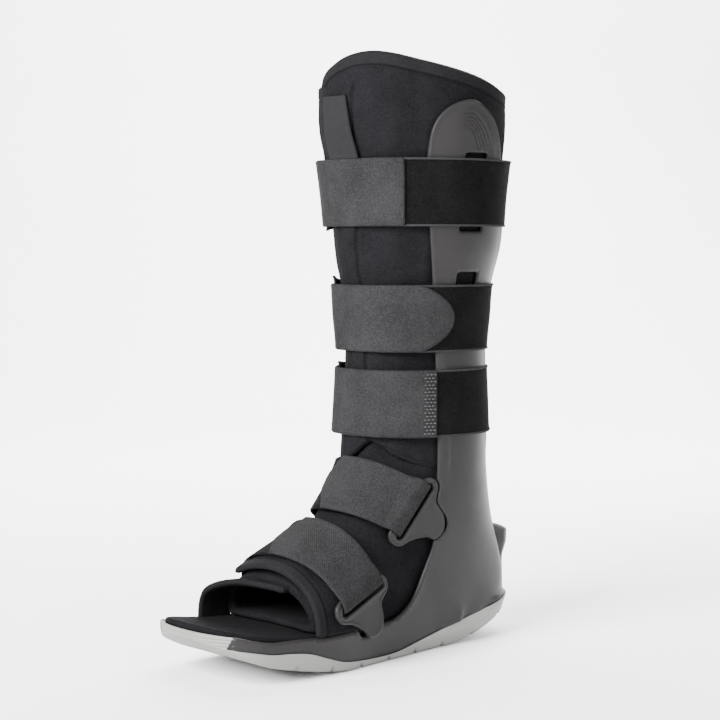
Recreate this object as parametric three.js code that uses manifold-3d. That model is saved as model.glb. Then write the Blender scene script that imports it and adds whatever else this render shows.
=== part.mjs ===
// Tall medical walking boot: a padded liner in a moulded shell with two uprights, closed by
// three shaft straps and two foot straps, on a rocker outsole.
// Millimetres, +Z up, toe towards -Y. The origin is on the floor under the middle of the boot.
import * as THREE from 'three';
import { mergeVertices } from 'three/addons/utils/BufferGeometryUtils.js';
import Module from 'manifold-3d';

const wasm = await Module();
wasm.setup();

// Foot and sole
const FOOT_LENGTH = 286;
const LIP_REACH = 3;
const BALL_HALF_WIDTH = 54;
const TOE_ROUND = 38;
const HEEL_ROUND = 42;
const TOE_PLATE_TOP = 38;
const BUMPER_DEPTH = 14;
const BUMPER_LIP = 7;
const FOOTBED_THICKNESS = 5;
const INSTEP_HEIGHT = 102.5;

// Shaft
const HEEL_TO_SHAFT = 79;
const SHAFT_TOP = 414;
const CALF_HALF_WIDTH = 65;
const CALF_HALF_DEPTH = 71;
// The ankle follows the foot: its sections take their width from the ball and their depth from
// the heel up to ANKLE_TOP, and the calf's sizes from CALF_FROM on, both shares of SHAFT_TOP
const ANKLE_TO_BALL = 1.2037;
const ANKLE_TO_HEEL = 0.8987;
const ANKLE_TOP = 0.3;
const CALF_FROM = 0.5;
const UPRIGHT_TOP = 383;
const HEEL_CUP_TOP = 172;

// Walls and gaps
const SHELL_WALL = 3;
const TRAY_INSET = 1;
const LINER_WALL = 5;
const FLAP_WALL = 3.6;
const PILE_THICKNESS = 1.3;
const STRAP_THICKNESS = 1.8;
const LINER_GAP = 1;
const FOOT_LINER_GAP = 3.3;
const STRAP_LIFT = 0.8;
const SEAT_GAP = 0.4;

// Straps, windows and loops
const STRAP_WIDTH = 45;
const WINDOW_WIDTH = 22.5;
const FOOT_STRAP_WIDTH = 41;
const LOOP_SLOT_LENGTH = 46;
const LOOP_SLOT_WIDTH = 5;
const LOOP_THICKNESS = 3;
const LOOP_NOTCH_GAP = 0.6;

// Heel strip with its pull lip, and the fabric tab
const HEEL_STRIP_WIDTH = 40;
const HEEL_STRIP_TOP = 73;
const HEEL_STRIP_PROUD = 2;
const LIP_WALL = 3;
const TAB_LENGTH = 43;
const TAB_THICKNESS = 1.4;

// Heel strip from its bottom up: up is a share of its height, lift how far it has left the shell
const HEEL_STRIP_LEVELS = [
  { up: 0.0, lift: 0.0 },
  { up: 0.13, lift: 0.0 },
  { up: 0.4, lift: 0.0 },
  { up: 0.61, lift: 0.25 },
  { up: 0.81, lift: 0.85 },
  { up: 1.0, lift: 1.0 },
];

const TOE_Y = -(FOOT_LENGTH + LIP_REACH) / 2;
const HEEL_Y = TOE_Y + FOOT_LENGTH;
const SHAFT_Y = HEEL_Y - HEEL_TO_SHAFT;
const BUMPER_END = TOE_Y + BUMPER_DEPTH;

// Half the width of the blocks that cut right across the boot
const SIDE = CALF_HALF_WIDTH + 30;

// Facets along the profiles, and round the sole's plan, the shell and the liner
const PROFILE_STEPS = 20;
const PLAN_POINTS = 44;
const SHELL_POINTS = 40;
const RING_POINTS = 30;

// Shaft sections: up is a share of SHAFT_TOP, width and depth are shares of the calf's half
// width and half depth, and back is how far the centre sits behind the shaft's axis, as a
// share of the half depth.
const SHAFT_SECTIONS = [
  { up: 0.0, width: 0.59, depth: 0.68, back: 0.36 },
  { up: 0.0725, width: 0.608, depth: 0.717, back: 0.322 },
  { up: 0.109, width: 0.623, depth: 0.772, back: 0.265 },
  { up: 0.145, width: 0.654, depth: 0.815, back: 0.168 },
  { up: 0.193, width: 0.692, depth: 0.818, back: 0.058 },
  { up: 0.2415, width: 0.708, depth: 0.817, back: 0.0 },
  { up: 0.3575, width: 0.715, depth: 0.765, back: -0.014 },
  { up: 0.505, width: 0.692, depth: 0.72, back: -0.006 },
  { up: 0.568, width: 0.723, depth: 0.745, back: -0.008 },
  { up: 0.621, width: 0.746, depth: 0.774, back: 0.0 },
  { up: 0.688, width: 0.838, depth: 0.846, back: 0.022 },
  { up: 0.773, width: 0.9, depth: 0.887, back: 0.018 },
  { up: 0.833, width: 0.946, depth: 0.923, back: 0.011 },
  { up: 0.882, width: 0.985, depth: 0.966, back: -0.01 },
  { up: 0.966, width: 0.985, depth: 0.973, back: -0.017 },
  { up: 1.0, width: 0.977, depth: 0.965, back: -0.017 },
];

// Sole plan: along is a share of the foot's length from the toe, width of BALL_HALF_WIDTH.
const SOLE_PLAN = [
  { along: 0.0, width: 0.907 },
  { along: 0.102, width: 0.954 },
  { along: 0.223, width: 1.0 },
  { along: 0.329, width: 0.972 },
  { along: 0.451, width: 0.87 },
  { along: 0.590, width: 0.806 },
  { along: 0.731, width: 0.778 },
  { along: 0.854, width: 0.787 },
  { along: 1.0, width: 0.778 },
];

// Sole profile: tread is the rocker's underside, seam the line between outsole and shell, and
// floor the shell's floor under the footbed, all shares of TOE_PLATE_TOP.
const SOLE_PROFILE = [
  { along: 0.0, tread: 0.8, seam: 0.7, floor: 0.95 },
  { along: 0.014, tread: 0.7, seam: 0.69, floor: 0.875 },
  { along: 0.067, tread: 0.49, seam: 0.63, floor: 0.775 },
  { along: 0.119, tread: 0.316, seam: 0.555, floor: 0.697 },
  { along: 0.171, tread: 0.218, seam: 0.526, floor: 0.645 },
  { along: 0.223, tread: 0.137, seam: 0.466, floor: 0.615 },
  { along: 0.277, tread: 0.068, seam: 0.326, floor: 0.595 },
  { along: 0.325, tread: 0.026, seam: 0.21, floor: 0.583 },
  { along: 0.374, tread: 0.0, seam: 0.155, floor: 0.579 },
  { along: 0.455, tread: 0.0, seam: 0.118, floor: 0.579 },
  { along: 0.525, tread: 0.0, seam: 0.132, floor: 0.584 },
  { along: 0.601, tread: 0.0, seam: 0.237, floor: 0.605 },
  { along: 0.717, tread: 0.0, seam: 0.42, floor: 0.67 },
  { along: 0.797, tread: 0.085, seam: 0.55, floor: 0.735 },
  { along: 0.854, tread: 0.237, seam: 0.645, floor: 0.79 },
  { along: 0.923, tread: 0.434, seam: 0.73, floor: 0.855 },
  { along: 1.0, tread: 0.684, seam: 0.79, floor: 0.895 },
];

// Top of the foot: height above the footbed, a share of INSTEP_HEIGHT.
const FOOT_TOP = [
  { along: 0.129, height: 0.25 },
  { along: 0.189, height: 0.275 },
  { along: 0.241, height: 0.335 },
  { along: 0.287, height: 0.41 },
  { along: 0.329, height: 0.475 },
  { along: 0.371, height: 0.54 },
  { along: 0.413, height: 0.63 },
  { along: 0.448, height: 0.73 },
  { along: 0.500, height: 0.935 },
  { along: 0.556, height: 1.1 },
  { along: 0.693, height: 1.25 },
];
const ARCH_ROUNDNESS = 2.3;
const ANKLE_BLEND = 14;

// Rim of the tray, from its front end to the wing: up is a share of TOE_PLATE_TOP.
const TRAY_RIM = [
  { along: 0.038, up: 0.882 },
  { along: 0.074, up: 0.803 },
  { along: 0.119, up: 0.742 },
  { along: 0.199, up: 0.724 },
  { along: 0.280, up: 0.68 },
  { along: 0.329, up: 0.68 },
  { along: 0.374, up: 0.697 },
  { along: 0.468, up: 0.7 },
];

// Edge of the wing and the upright, from the tray round the paddle to the opening behind the
// calf: back is measured from the shaft's axis in shares of CALF_HALF_DEPTH, up in shares of
// UPRIGHT_TOP.
const UPRIGHT_EDGE = [
  { back: -0.86, up: 0.07 },
  { back: -0.735, up: 0.08 },
  { back: -0.595, up: 0.097 },
  { back: -0.478, up: 0.125 },
  { back: -0.375, up: 0.166 },
  { back: -0.32, up: 0.198 },
  { back: -0.29, up: 0.326 },
  { back: -0.285, up: 0.394 },
  { back: -0.294, up: 0.553 },
  { back: -0.353, up: 0.671 },
  { back: -0.432, up: 0.752 },
  { back: -0.527, up: 0.911 },
  { back: -0.515, up: 0.949 },
  { back: -0.451, up: 0.972 },
  { back: -0.332, up: 0.99 },
  { back: -0.113, up: 1.0 },
  { back: 0.038, up: 0.99 },
  { back: 0.194, up: 0.966 },
  { back: 0.307, up: 0.932 },
  { back: 0.408, up: 0.875 },
  { back: 0.59, up: 0.789 },
  { back: 0.63, up: 0.744 },
  { back: 0.62, up: 0.684 },
  { back: 0.54, up: 0.546 },
  { back: 0.545, up: 0.47 },
  { back: 0.63, up: 0.41 },
  { back: 0.72, up: 0.375 },
  { back: 0.873, up: 0.36 },
];

// Shaft straps: rise is the strap's middle above the floor; the grey strap runs between its
// two angles over the shin, and the pile band from its own two round the calf. Angles are in
// degrees from +X, counter-clockwise seen from above. tip is the length of a tapered end.
const SHAFT_STRAPS = [
  { name: 'upper', rise: 320.5, greyEnd: -48.5, tip: 0, pileSlip: -3, window: 55, windowRise: 0, windowBack: -2 },
  { name: 'middle', rise: 233.5, greyEnd: -11, tip: 24, pileSlip: 6, window: 52, windowRise: 6.5, windowBack: 3 },
  { name: 'lower', rise: 174.5, greyEnd: -23.5, tip: 0, pileSlip: 4, window: 0, windowRise: 0, windowBack: 0 },
];
const GREY_START = -160;
const PILE_START = -62;
const PILE_END = 242;

// Foot straps: the slot's middle on the wearer's left of the foot, from the toe and the
// floor, the slope of the slot, and how far the strap drifts towards the toe at the top. side
// is a share of BALL_HALF_WIDTH.
const FOOT_STRAPS = [
  { name: 'instep', along: 0.588, up: 100.3, slope: 52.4, side: 0.7685, turn: -11, lean: 0, layers: 0, drift: 5 },
  { name: 'toe', along: 0.387, up: 47.9, slope: 20.8, side: 0.9537, turn: 6, lean: 8, layers: 1, drift: 0 },
];

// Strap loop outline about its slot: along and across are shares of half the slot's length.
const LOOP_OUTLINE = [
  { along: -1.04, across: 0.25 },
  { along: -1.18, across: 0.0 },
  { along: -1.07, across: -0.25 },
  { along: -0.65, across: -0.48 },
  { along: -0.46, across: -0.98 },
  { along: -0.1, across: -1.23 },
  { along: 0.29, across: -1.12 },
  { along: 0.38, across: -0.86 },
  { along: 0.76, across: -0.44 },
  { along: 1.14, across: -0.2 },
  { along: 1.22, across: 0.1 },
  { along: 1.06, across: 0.34 },
];

// Height of the liner's upper edge round the calf
const TOP_EDGE = [
  { turn: -112, up: 0.935 },
  { turn: -106, up: 0.967 },
  { turn: -92, up: 0.988 },
  { turn: -75, up: 0.999 },
  { turn: -60, up: 0.999 },
  { turn: -35, up: 0.985 },
  { turn: 0, up: 0.964 },
  { turn: 30, up: 0.945 },
  { turn: 60, up: 0.935 },
  { turn: 90, up: 0.932 },
  { turn: 120, up: 0.935 },
  { turn: 150, up: 0.94 },
  { turn: 180, up: 0.945 },
  { turn: 215, up: 0.952 },
  { turn: 250, up: 0.955 },
  { turn: 310, up: 0.955 },
];

// Lower edge of the shaft's wrap, with a peak over the instep
const LOWER_EDGE = [
  { turn: -160, up: 0.31 },
  { turn: -112, up: 0.322 },
  { turn: -94, up: 0.332 },
  { turn: -76, up: 0.36 },
  { turn: -55, up: 0.341 },
  { turn: -32, up: 0.32 },
  { turn: -10, up: 0.31 },
];

// Angles between which the shaft's wrap runs, and where its inner end steps down
const WRAP_START = -112;
const WRAP_END = 310;
const WRAP_STEP_FROM = 224;
const WRAP_STEP_TO = 243;

// Liner: the line above the instep that its sections fan round, its flaps' ends as shares of
// the foot's length, and the angle that the forefoot flap sweeps over the foot
const LINER_PIVOT = { along: 0.223, up: 1.18 };
const LINER_FAN_FROM = 7;
const LINER_FAN_SPLIT = 40;
const LINER_FAN_TO = 88;
const LINER_FAN_GAP = 0.5;
const FLAP_FRONT = 0.248;
const FLAP_BACK = 0.406;
const FLAP_SWEEP = 136;
const TOE_FLAP_BACK = 0.242;
const TOE_FLAP_FRONT = 0.172;
const TOE_FLAP_HEIGHT = 28;
const TOE_FLAP_SWEEP = 108;
const TOE_FLAP_SQUARENESS = 0.66;

// Foot straps: where the pile and the grey strap start and end, in degrees about the foot
// from the loop's side, and the length of the tapered end in degrees
const FOOT_PILE_FROM = 29;
const FOOT_PILE_TO = 212;
const FOOT_GREY_FROM = 23;
const FOOT_GREY_TO = 116;
const FOOT_GREY_TIP = 16;
const TAB_FROM = -101;
const TAB_TO = -79;

const COLOURS = {
  shell: 0x4f4c4d, outsole: 0xa5a5a2, footbed: 0x1d1d20, liner: 0x222226, strap: 0x555557,
  pile: 0x1f1f21, loop: 0x4a494b, tab: 0x5c5d60,
};

const group = new THREE.Group();

function material(colour, roughness) {
  return new THREE.MeshStandardMaterial({ color: colour, roughness, metalness: 0 });
}

function addMesh(name, geometry, colour, roughness) {
  const mesh = new THREE.Mesh(geometry, material(colour, roughness));
  mesh.name = name;
  group.add(mesh);
  return mesh;
}

// Smooth interpolation of one column of a table at a place given in another
function tableAt(table, key, place, column) {
  const last = table.length - 1;
  const at = THREE.MathUtils.clamp(place, table[0][key], table[last][key]);
  let i = 0;
  while (i < last - 1 && at > table[i + 1][key]) {
    i += 1;
  }
  const slope = (k) => {
    const before = table[Math.max(k - 1, 0)];
    const after = table[Math.min(k + 1, last)];
    return (after[column] - before[column]) / (after[key] - before[key]);
  };
  const a = table[i];
  const b = table[i + 1];
  const span = b[key] - a[key];
  const t = (at - a[key]) / span;
  const t2 = t * t;
  const t3 = t2 * t;
  return (2 * t3 - 3 * t2 + 1) * a[column] + (t3 - 2 * t2 + t) * span * slope(i)
    + (-2 * t3 + 3 * t2) * b[column] + (t3 - t2) * span * slope(i + 1);
}

const alongToY = (along) => TOE_Y + along * FOOT_LENGTH;
const yToAlong = (y) => (y - TOE_Y) / FOOT_LENGTH;
const profileAt = (y, column) => (
  Math.max(tableAt(SOLE_PROFILE, 'along', yToAlong(y), column), 0) * TOE_PLATE_TOP
);
const footbedTop = (y) => profileAt(y, 'floor') + SEAT_GAP + FOOTBED_THICKNESS;
const linerBottom = (y) => footbedTop(y) + SEAT_GAP;

// Half width of the sole's plan, for a plan drawn in from the outline by inset at the sides
// and the heel, and by toeInset at the toe
function planHalfWidth(y, inset, toeInset) {
  const full = tableAt(SOLE_PLAN, 'along', yToAlong(y), 'width') * BALL_HALF_WIDTH - inset;
  const fromToe = THREE.MathUtils.clamp((y - TOE_Y - toeInset) / TOE_ROUND, 0, 1);
  const fromHeel = THREE.MathUtils.clamp((HEEL_Y - inset - y) / HEEL_ROUND, 0, 1);
  const toe = (1 - (1 - fromToe) ** 2.5) ** 0.4;
  const heel = (1 - (1 - fromHeel) ** 2) ** 0.5;
  return full * toe * heel;
}

// Closed plan outline, counter-clockwise from the heel
function planOutline(inset, toeInset, count) {
  const rear = HEEL_Y - inset;
  const front = TOE_Y + toeInset;
  const points = [];
  for (let i = 0; i < count; i += 1) {
    const turn = (2 * Math.PI * i) / count;
    const y = (rear + front) / 2 + ((rear - front) / 2) * Math.cos(turn);
    points.push(new THREE.Vector2(-Math.sign(Math.sin(turn)) * planHalfWidth(y, inset, toeInset), y));
  }
  return points;
}

function shaftSection(z) {
  const up = z / SHAFT_TOP;
  const calf = THREE.MathUtils.smoothstep(up, ANKLE_TOP, CALF_FROM);
  const width = THREE.MathUtils.lerp(ANKLE_TO_BALL * BALL_HALF_WIDTH, CALF_HALF_WIDTH, calf);
  const depth = THREE.MathUtils.lerp(ANKLE_TO_HEEL * HEEL_TO_SHAFT, CALF_HALF_DEPTH, calf);
  return {
    halfWidth: tableAt(SHAFT_SECTIONS, 'up', up, 'width') * width,
    halfDepth: tableAt(SHAFT_SECTIONS, 'up', up, 'depth') * depth,
    centre: SHAFT_Y + tableAt(SHAFT_SECTIONS, 'up', up, 'back') * depth,
  };
}

function shaftPoint(degrees, z, grow) {
  const section = shaftSection(z);
  const angle = THREE.MathUtils.degToRad(degrees);
  const x = (section.halfWidth + grow) * Math.cos(angle);
  const y = section.centre + (section.halfDepth + grow) * Math.sin(angle);
  return new THREE.Vector3(x, y, z);
}

// Distance of a point from the padded leg and foot that the liner follows, negative inside
function shaftDistance(x, y, z) {
  const section = shaftSection(z);
  const a = x / section.halfWidth;
  const b = (y - section.centre) / section.halfDepth;
  const size = Math.max(Math.hypot(a, b), 1e-6);
  const steepness = Math.hypot(a / section.halfWidth, b / section.halfDepth) / size;
  return (size - 1) / Math.max(steepness, 1e-6);
}

function footSection(y) {
  const inset = TRAY_INSET + SHELL_WALL;
  const bottom = linerBottom(y);
  return {
    halfWidth: tableAt(SOLE_PLAN, 'along', yToAlong(y), 'width') * BALL_HALF_WIDTH - inset,
    bottom,
    height: tableAt(FOOT_TOP, 'along', yToAlong(y), 'height') * INSTEP_HEIGHT,
  };
}

function footDistance(x, y, z) {
  const section = footSection(y);
  const a = Math.abs(x) / section.halfWidth;
  const b = Math.max(z - section.bottom, 0) / section.height;
  const power = ARCH_ROUNDNESS;
  const size = Math.max((a ** power + b ** power) ** (1 / power), 1e-6);
  const steepness = Math.hypot(a ** (power - 1) / section.halfWidth, b ** (power - 1) / section.height);
  const distance = (size - 1) / Math.max(steepness / size ** (power - 1), 1e-6);
  const pastAnkle = y - SHAFT_Y;
  return Math.max(distance, pastAnkle);
}

function bodyDistance(x, y, z) {
  const shaft = shaftDistance(x, y, z);
  const foot = footDistance(x, y, z);
  const near = Math.max(ANKLE_BLEND - Math.abs(shaft - foot), 0) / ANKLE_BLEND;
  return Math.min(shaft, foot) - (near * near * ANKLE_BLEND) / 4;
}

// How far a ray from inside the body runs until it leaves it
function reach(start, direction, limit) {
  let low = 0;
  let high = limit;
  for (let i = 0; i < 26; i += 1) {
    const middle = (low + high) / 2;
    const p = start.clone().addScaledVector(direction, middle);
    if (bodyDistance(p.x, p.y, p.z) < 0) {
      low = middle;
    } else {
      high = middle;
    }
  }
  return low;
}

function bodyNormal(p) {
  const step = 0.5;
  return new THREE.Vector3(
    bodyDistance(p.x + step, p.y, p.z) - bodyDistance(p.x - step, p.y, p.z),
    bodyDistance(p.x, p.y + step, p.z) - bodyDistance(p.x, p.y - step, p.z),
    bodyDistance(p.x, p.y, p.z + step) - bodyDistance(p.x, p.y, p.z - step),
  ).normalize();
}

// Level section through the body at height z, drawn out by grow
function levelOutline(z, grow, count) {
  const section = shaftSection(z);
  const centre = new THREE.Vector3(0, section.centre, z);
  const rear = section.centre + reach(centre, new THREE.Vector3(0, 1, 0), CALF_HALF_DEPTH * 2);
  const front = section.centre - reach(centre, new THREE.Vector3(0, -1, 0), FOOT_LENGTH);
  const across = new THREE.Vector3(1, 0, 0);
  const points = [];
  for (let i = 0; i < count; i += 1) {
    const turn = (2 * Math.PI * i) / count;
    const y = (rear + front) / 2 + ((rear - front) / 2) * Math.cos(turn);
    const side = -Math.sign(Math.sin(turn));
    const width = Math.abs(Math.sin(turn)) < 1e-9 ? 0 : reach(new THREE.Vector3(0, y, z), across, CALF_HALF_WIDTH * 2);
    points.push(new THREE.Vector2(side * width, y));
  }
  return offsetOutline(points, grow);
}

// Moves each point of a counter-clockwise outline outwards
function offsetOutline(points, distance) {
  const count = points.length;
  return points.map((point, i) => {
    const before = points[(i + count - 1) % count];
    const after = points[(i + 1) % count];
    const along = after.clone().sub(before).normalize();
    return new THREE.Vector2(point.x + along.y * distance, point.y - along.x * distance);
  });
}

function geometryFrom(positions, indices) {
  const geometry = new THREE.BufferGeometry();
  geometry.setAttribute('position', new THREE.Float32BufferAttribute(positions, 3));
  geometry.setIndex(indices);
  return geometry;
}

// Closed skin over level outlines, lowest first, each with its own height
function loft(levels) {
  const count = levels[0].outline.length;
  const positions = [];
  const indices = [];
  levels.forEach(({ z, outline }) => outline.forEach((p) => positions.push(p.x, p.y, z)));
  for (let k = 0; k < levels.length - 1; k += 1) {
    for (let i = 0; i < count; i += 1) {
      const a = k * count + i;
      const b = k * count + ((i + 1) % count);
      indices.push(a, b, b + count, a, b + count, a + count);
    }
  }
  const lid = THREE.ShapeUtils.triangulateShape(levels[0].outline, []);
  const lidUp = THREE.ShapeUtils.triangulateShape(levels[levels.length - 1].outline, []);
  const top = (levels.length - 1) * count;
  lid.forEach(([a, b, c]) => indices.push(a, c, b));
  lidUp.forEach(([a, b, c]) => indices.push(top + a, top + b, top + c));
  return geometryFrom(positions, indices);
}

// Closed wall between two grids of points: rows[i][j] holds an outer and an inner point.
// A wall that closes on itself joins its last row to its first.
function wall(rows, closed) {
  const rowCount = rows.length;
  const count = rows[0].length;
  const positions = [];
  const indices = [];
  rows.forEach((row) => row.forEach(({ outer }) => positions.push(...outer.toArray())));
  rows.forEach((row) => row.forEach(({ inner }) => positions.push(...inner.toArray())));
  const half = rowCount * count;
  const at = (i, j) => (i % rowCount) * count + j;
  const quad = (a, b, c, d) => indices.push(a, b, c, a, c, d);
  const spans = closed ? rowCount : rowCount - 1;
  for (let i = 0; i < spans; i += 1) {
    for (let j = 0; j < count - 1; j += 1) {
      quad(at(i, j), at(i + 1, j), at(i + 1, j + 1), at(i, j + 1));
      quad(half + at(i, j), half + at(i, j + 1), half + at(i + 1, j + 1), half + at(i + 1, j));
    }
    quad(at(i, 0), half + at(i, 0), half + at(i + 1, 0), at(i + 1, 0));
    quad(at(i, count - 1), at(i + 1, count - 1), half + at(i + 1, count - 1), half + at(i, count - 1));
  }
  if (!closed) {
    const end = rowCount - 1;
    for (let j = 0; j < count - 1; j += 1) {
      quad(at(0, j), at(0, j + 1), half + at(0, j + 1), half + at(0, j));
      quad(at(end, j), half + at(end, j), half + at(end, j + 1), at(end, j + 1));
    }
  }
  return geometryFrom(positions, indices);
}

function toSolid(geometry) {
  const bare = geometry.clone();
  bare.deleteAttribute('normal');
  bare.deleteAttribute('uv');
  const merged = mergeVertices(bare, 1e-5);
  return new wasm.Manifold(new wasm.Mesh({
    numProp: 3,
    vertProperties: new Float32Array(merged.attributes.position.array),
    triVerts: new Uint32Array(merged.index.array),
  }));
}

function toGeometry(solid) {
  const mesh = solid.getMesh();
  return geometryFrom(Array.from(mesh.vertProperties), Array.from(mesh.triVerts));
}

// Solid between two X positions whose side view is the given outline of (y, z) points
function sideProfile(points, from, to) {
  const shape = new THREE.Shape(points);
  const geometry = new THREE.ExtrudeGeometry(shape, { depth: to - from, bevelEnabled: false });
  geometry.applyMatrix4(new THREE.Matrix4().makeBasis(
    new THREE.Vector3(0, 1, 0),
    new THREE.Vector3(0, 0, 1),
    new THREE.Vector3(1, 0, 0),
  ));
  geometry.translate(from, 0, 0);
  return toSolid(geometry);
}

function block(width, depth, height, x, y, z) {
  const geometry = new THREE.BoxGeometry(width, depth, height);
  geometry.translate(x, y, z);
  return toSolid(geometry);
}

// Side-view points of one column of the sole's profile, from the toe to the heel
function profileLine(column, from, to, count, rise) {
  const points = [];
  for (let i = 0; i <= count; i += 1) {
    const y = THREE.MathUtils.lerp(from, to, i / count);
    points.push(new THREE.Vector2(y, profileAt(y, column) + rise));
  }
  return points;
}

function planPrism(inset, toeInset, low, high, count) {
  const outline = planOutline(inset, toeInset, count);
  return toSolid(loft([{ z: low, outline }, { z: high, outline }]));
}

function footbedSolid(gap) {
  const inset = TRAY_INSET + SHELL_WALL + SEAT_GAP - gap;
  const plan = planPrism(inset, BUMPER_LIP - gap, -10, SHAFT_TOP / 4, PLAN_POINTS);
  const low = profileLine('floor', TOE_Y - 10, HEEL_Y + 10, PROFILE_STEPS, SEAT_GAP - gap);
  const high = profileLine('floor', TOE_Y - 10, HEEL_Y + 10, PROFILE_STEPS, SEAT_GAP + FOOTBED_THICKNESS + gap);
  return plan.intersect(sideProfile([...low, ...high.reverse()], -SIDE, SIDE));
}

// Heel strip: a band of the outsole up the back of the shell, ending in the pull lip
function heelStrip(gap) {
  const bottom = profileAt(HEEL_Y, 'tread');
  const across = 9;
  const lipY = HEEL_Y + LIP_REACH;
  const rows = HEEL_STRIP_LEVELS.map(({ up, lift }) => {
    const z = THREE.MathUtils.lerp(bottom, HEEL_STRIP_TOP, up);
    const row = [];
    for (let i = 0; i <= across; i += 1) {
      const x = THREE.MathUtils.lerp(-1, 1, i / across) * (HEEL_STRIP_WIDTH / 2 + gap);
      const back = backOfShell(x, z);
      const bulge = lipY - (x * x) / (3 * HEEL_ROUND);
      const outerY = THREE.MathUtils.lerp(back + HEEL_STRIP_PROUD, bulge, lift);
      const innerY = THREE.MathUtils.lerp(back - HEEL_STRIP_PROUD, bulge - LIP_WALL, lift);
      row.push({ outer: new THREE.Vector3(x, outerY + gap, z), inner: new THREE.Vector3(x, innerY - gap, z) });
    }
    return row;
  });
  return toSolid(wall(rows, false));
}

// Rear surface of the shell at a place across its back
function backOfShell(x, z) {
  const section = shaftSection(Math.max(z, TOE_PLATE_TOP * 0.8));
  const share = Math.min(Math.abs(x) / (section.halfWidth + SHELL_WALL), 1);
  return section.centre + (section.halfDepth + SHELL_WALL) * Math.sqrt(1 - share * share);
}

function outsole() {
  const plan = planPrism(0, 0, -10, SHAFT_TOP / 4, PLAN_POINTS);
  const tread = profileLine('tread', TOE_Y - 6, HEEL_Y + 6, 30, 0);
  const seam = profileLine('seam', BUMPER_END, HEEL_Y + 6, 28, -SEAT_GAP);
  const lip = [
    new THREE.Vector2(BUMPER_END, TOE_PLATE_TOP - 2),
    new THREE.Vector2(TOE_Y + BUMPER_LIP, TOE_PLATE_TOP - 1),
    new THREE.Vector2(TOE_Y + 2, TOE_PLATE_TOP - 2.5),
    new THREE.Vector2(TOE_Y - 6, TOE_PLATE_TOP - 6),
  ];
  const body = plan.intersect(sideProfile([...tread, ...seam.reverse(), ...lip], -SIDE, SIDE));
  return body.add(heelStrip(0)).subtract(footbedSolid(SEAT_GAP));
}

function edgeCurve(points, count) {
  const curve = new THREE.CatmullRomCurve3(points.map(([y, z]) => new THREE.Vector3(0, y, z)), false, 'centripetal');
  return curve.getSpacedPoints(count).map((p) => new THREE.Vector2(p.y, p.z));
}

function shellProfile() {
  const rim = edgeCurve(TRAY_RIM.map(({ along, up }) => [alongToY(along), up * TOE_PLATE_TOP]), 10);
  const upright = edgeCurve(
    UPRIGHT_EDGE.map(({ back, up }) => [SHAFT_Y + back * CALF_HALF_DEPTH, up * UPRIGHT_TOP]),
    46,
  );
  const seam = profileLine('seam', BUMPER_END + SEAT_GAP, HEEL_Y + 10, 28, 0);
  const front = rim.filter((p) => p.x > BUMPER_END + SEAT_GAP);
  const behind = upright[upright.length - 1];
  const outline = [...seam, new THREE.Vector2(HEEL_Y + 10, behind.y)];
  return [...outline, ...upright.reverse(), ...front.reverse()];
}

function shaftLevels(from, to, count) {
  return Array.from({ length: count + 1 }, (unused, k) => THREE.MathUtils.lerp(from, to, k / count));
}

function shellForm(grow, low) {
  const heights = [low, 38, 50, 64, 72, 80, 98, 118, ...shaftLevels(140, UPRIGHT_TOP + 7, 10)];
  return toSolid(loft(heights.map((z) => ({ z, outline: levelOutline(z, grow, SHELL_POINTS) }))));
}

function shell() {
  const tray = planPrism(TRAY_INSET, 0, -5, TOE_PLATE_TOP, PLAN_POINTS);
  const outer = shellForm(SHELL_WALL, 28).add(tray).intersect(sideProfile(shellProfile(), -SIDE, SIDE));
  const hollow = shellForm(0, 18).add(planPrism(TRAY_INSET + SHELL_WALL, 0, -5, TOE_PLATE_TOP + 6, PLAN_POINTS));
  const floor = profileLine('floor', TOE_Y - 10, HEEL_Y + 10, PROFILE_STEPS, 0);
  const above = [...floor, new THREE.Vector2(HEEL_Y + 10, SHAFT_TOP), new THREE.Vector2(TOE_Y - 10, SHAFT_TOP)];
  let solid = outer.subtract(hollow.intersect(sideProfile(above, -SIDE, SIDE)));
  solid = solid.subtract(heelStrip(SEAT_GAP));
  SHAFT_STRAPS.filter((strap) => strap.window > 0).forEach((strap) => {
    const z = strap.rise + strap.windowRise;
    const y = shaftSection(z).centre + strap.windowBack;
    solid = solid.subtract(block(2 * SIDE, WINDOW_WIDTH, strap.window, 0, y, z));
  });
  FOOT_STRAPS.forEach((strap) => {
    solid = solid.subtract(loopSolid(strap, LOOP_NOTCH_GAP, 3 * LOOP_THICKNESS));
  });
  return toGeometry(solid);
}

// Local axes of a loop: along its slot, across it towards the foot's top, and outwards
function loopFrame(strap) {
  const slope = THREE.MathUtils.degToRad(strap.slope);
  const turn = THREE.MathUtils.degToRad(strap.turn);
  const lean = THREE.MathUtils.degToRad(strap.lean);
  const frame = new THREE.Matrix4().makeBasis(
    new THREE.Vector3(0, -Math.cos(slope), -Math.sin(slope)),
    new THREE.Vector3(0, -Math.sin(slope), Math.cos(slope)),
    new THREE.Vector3(-1, 0, 0),
  );
  const place = new THREE.Matrix4().makeTranslation(strap.side * BALL_HALF_WIDTH, alongToY(strap.along), strap.up);
  const turned = new THREE.Matrix4().makeRotationZ(turn).multiply(new THREE.Matrix4().makeRotationY(-lean));
  return place.multiply(turned).multiply(frame);
}

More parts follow.
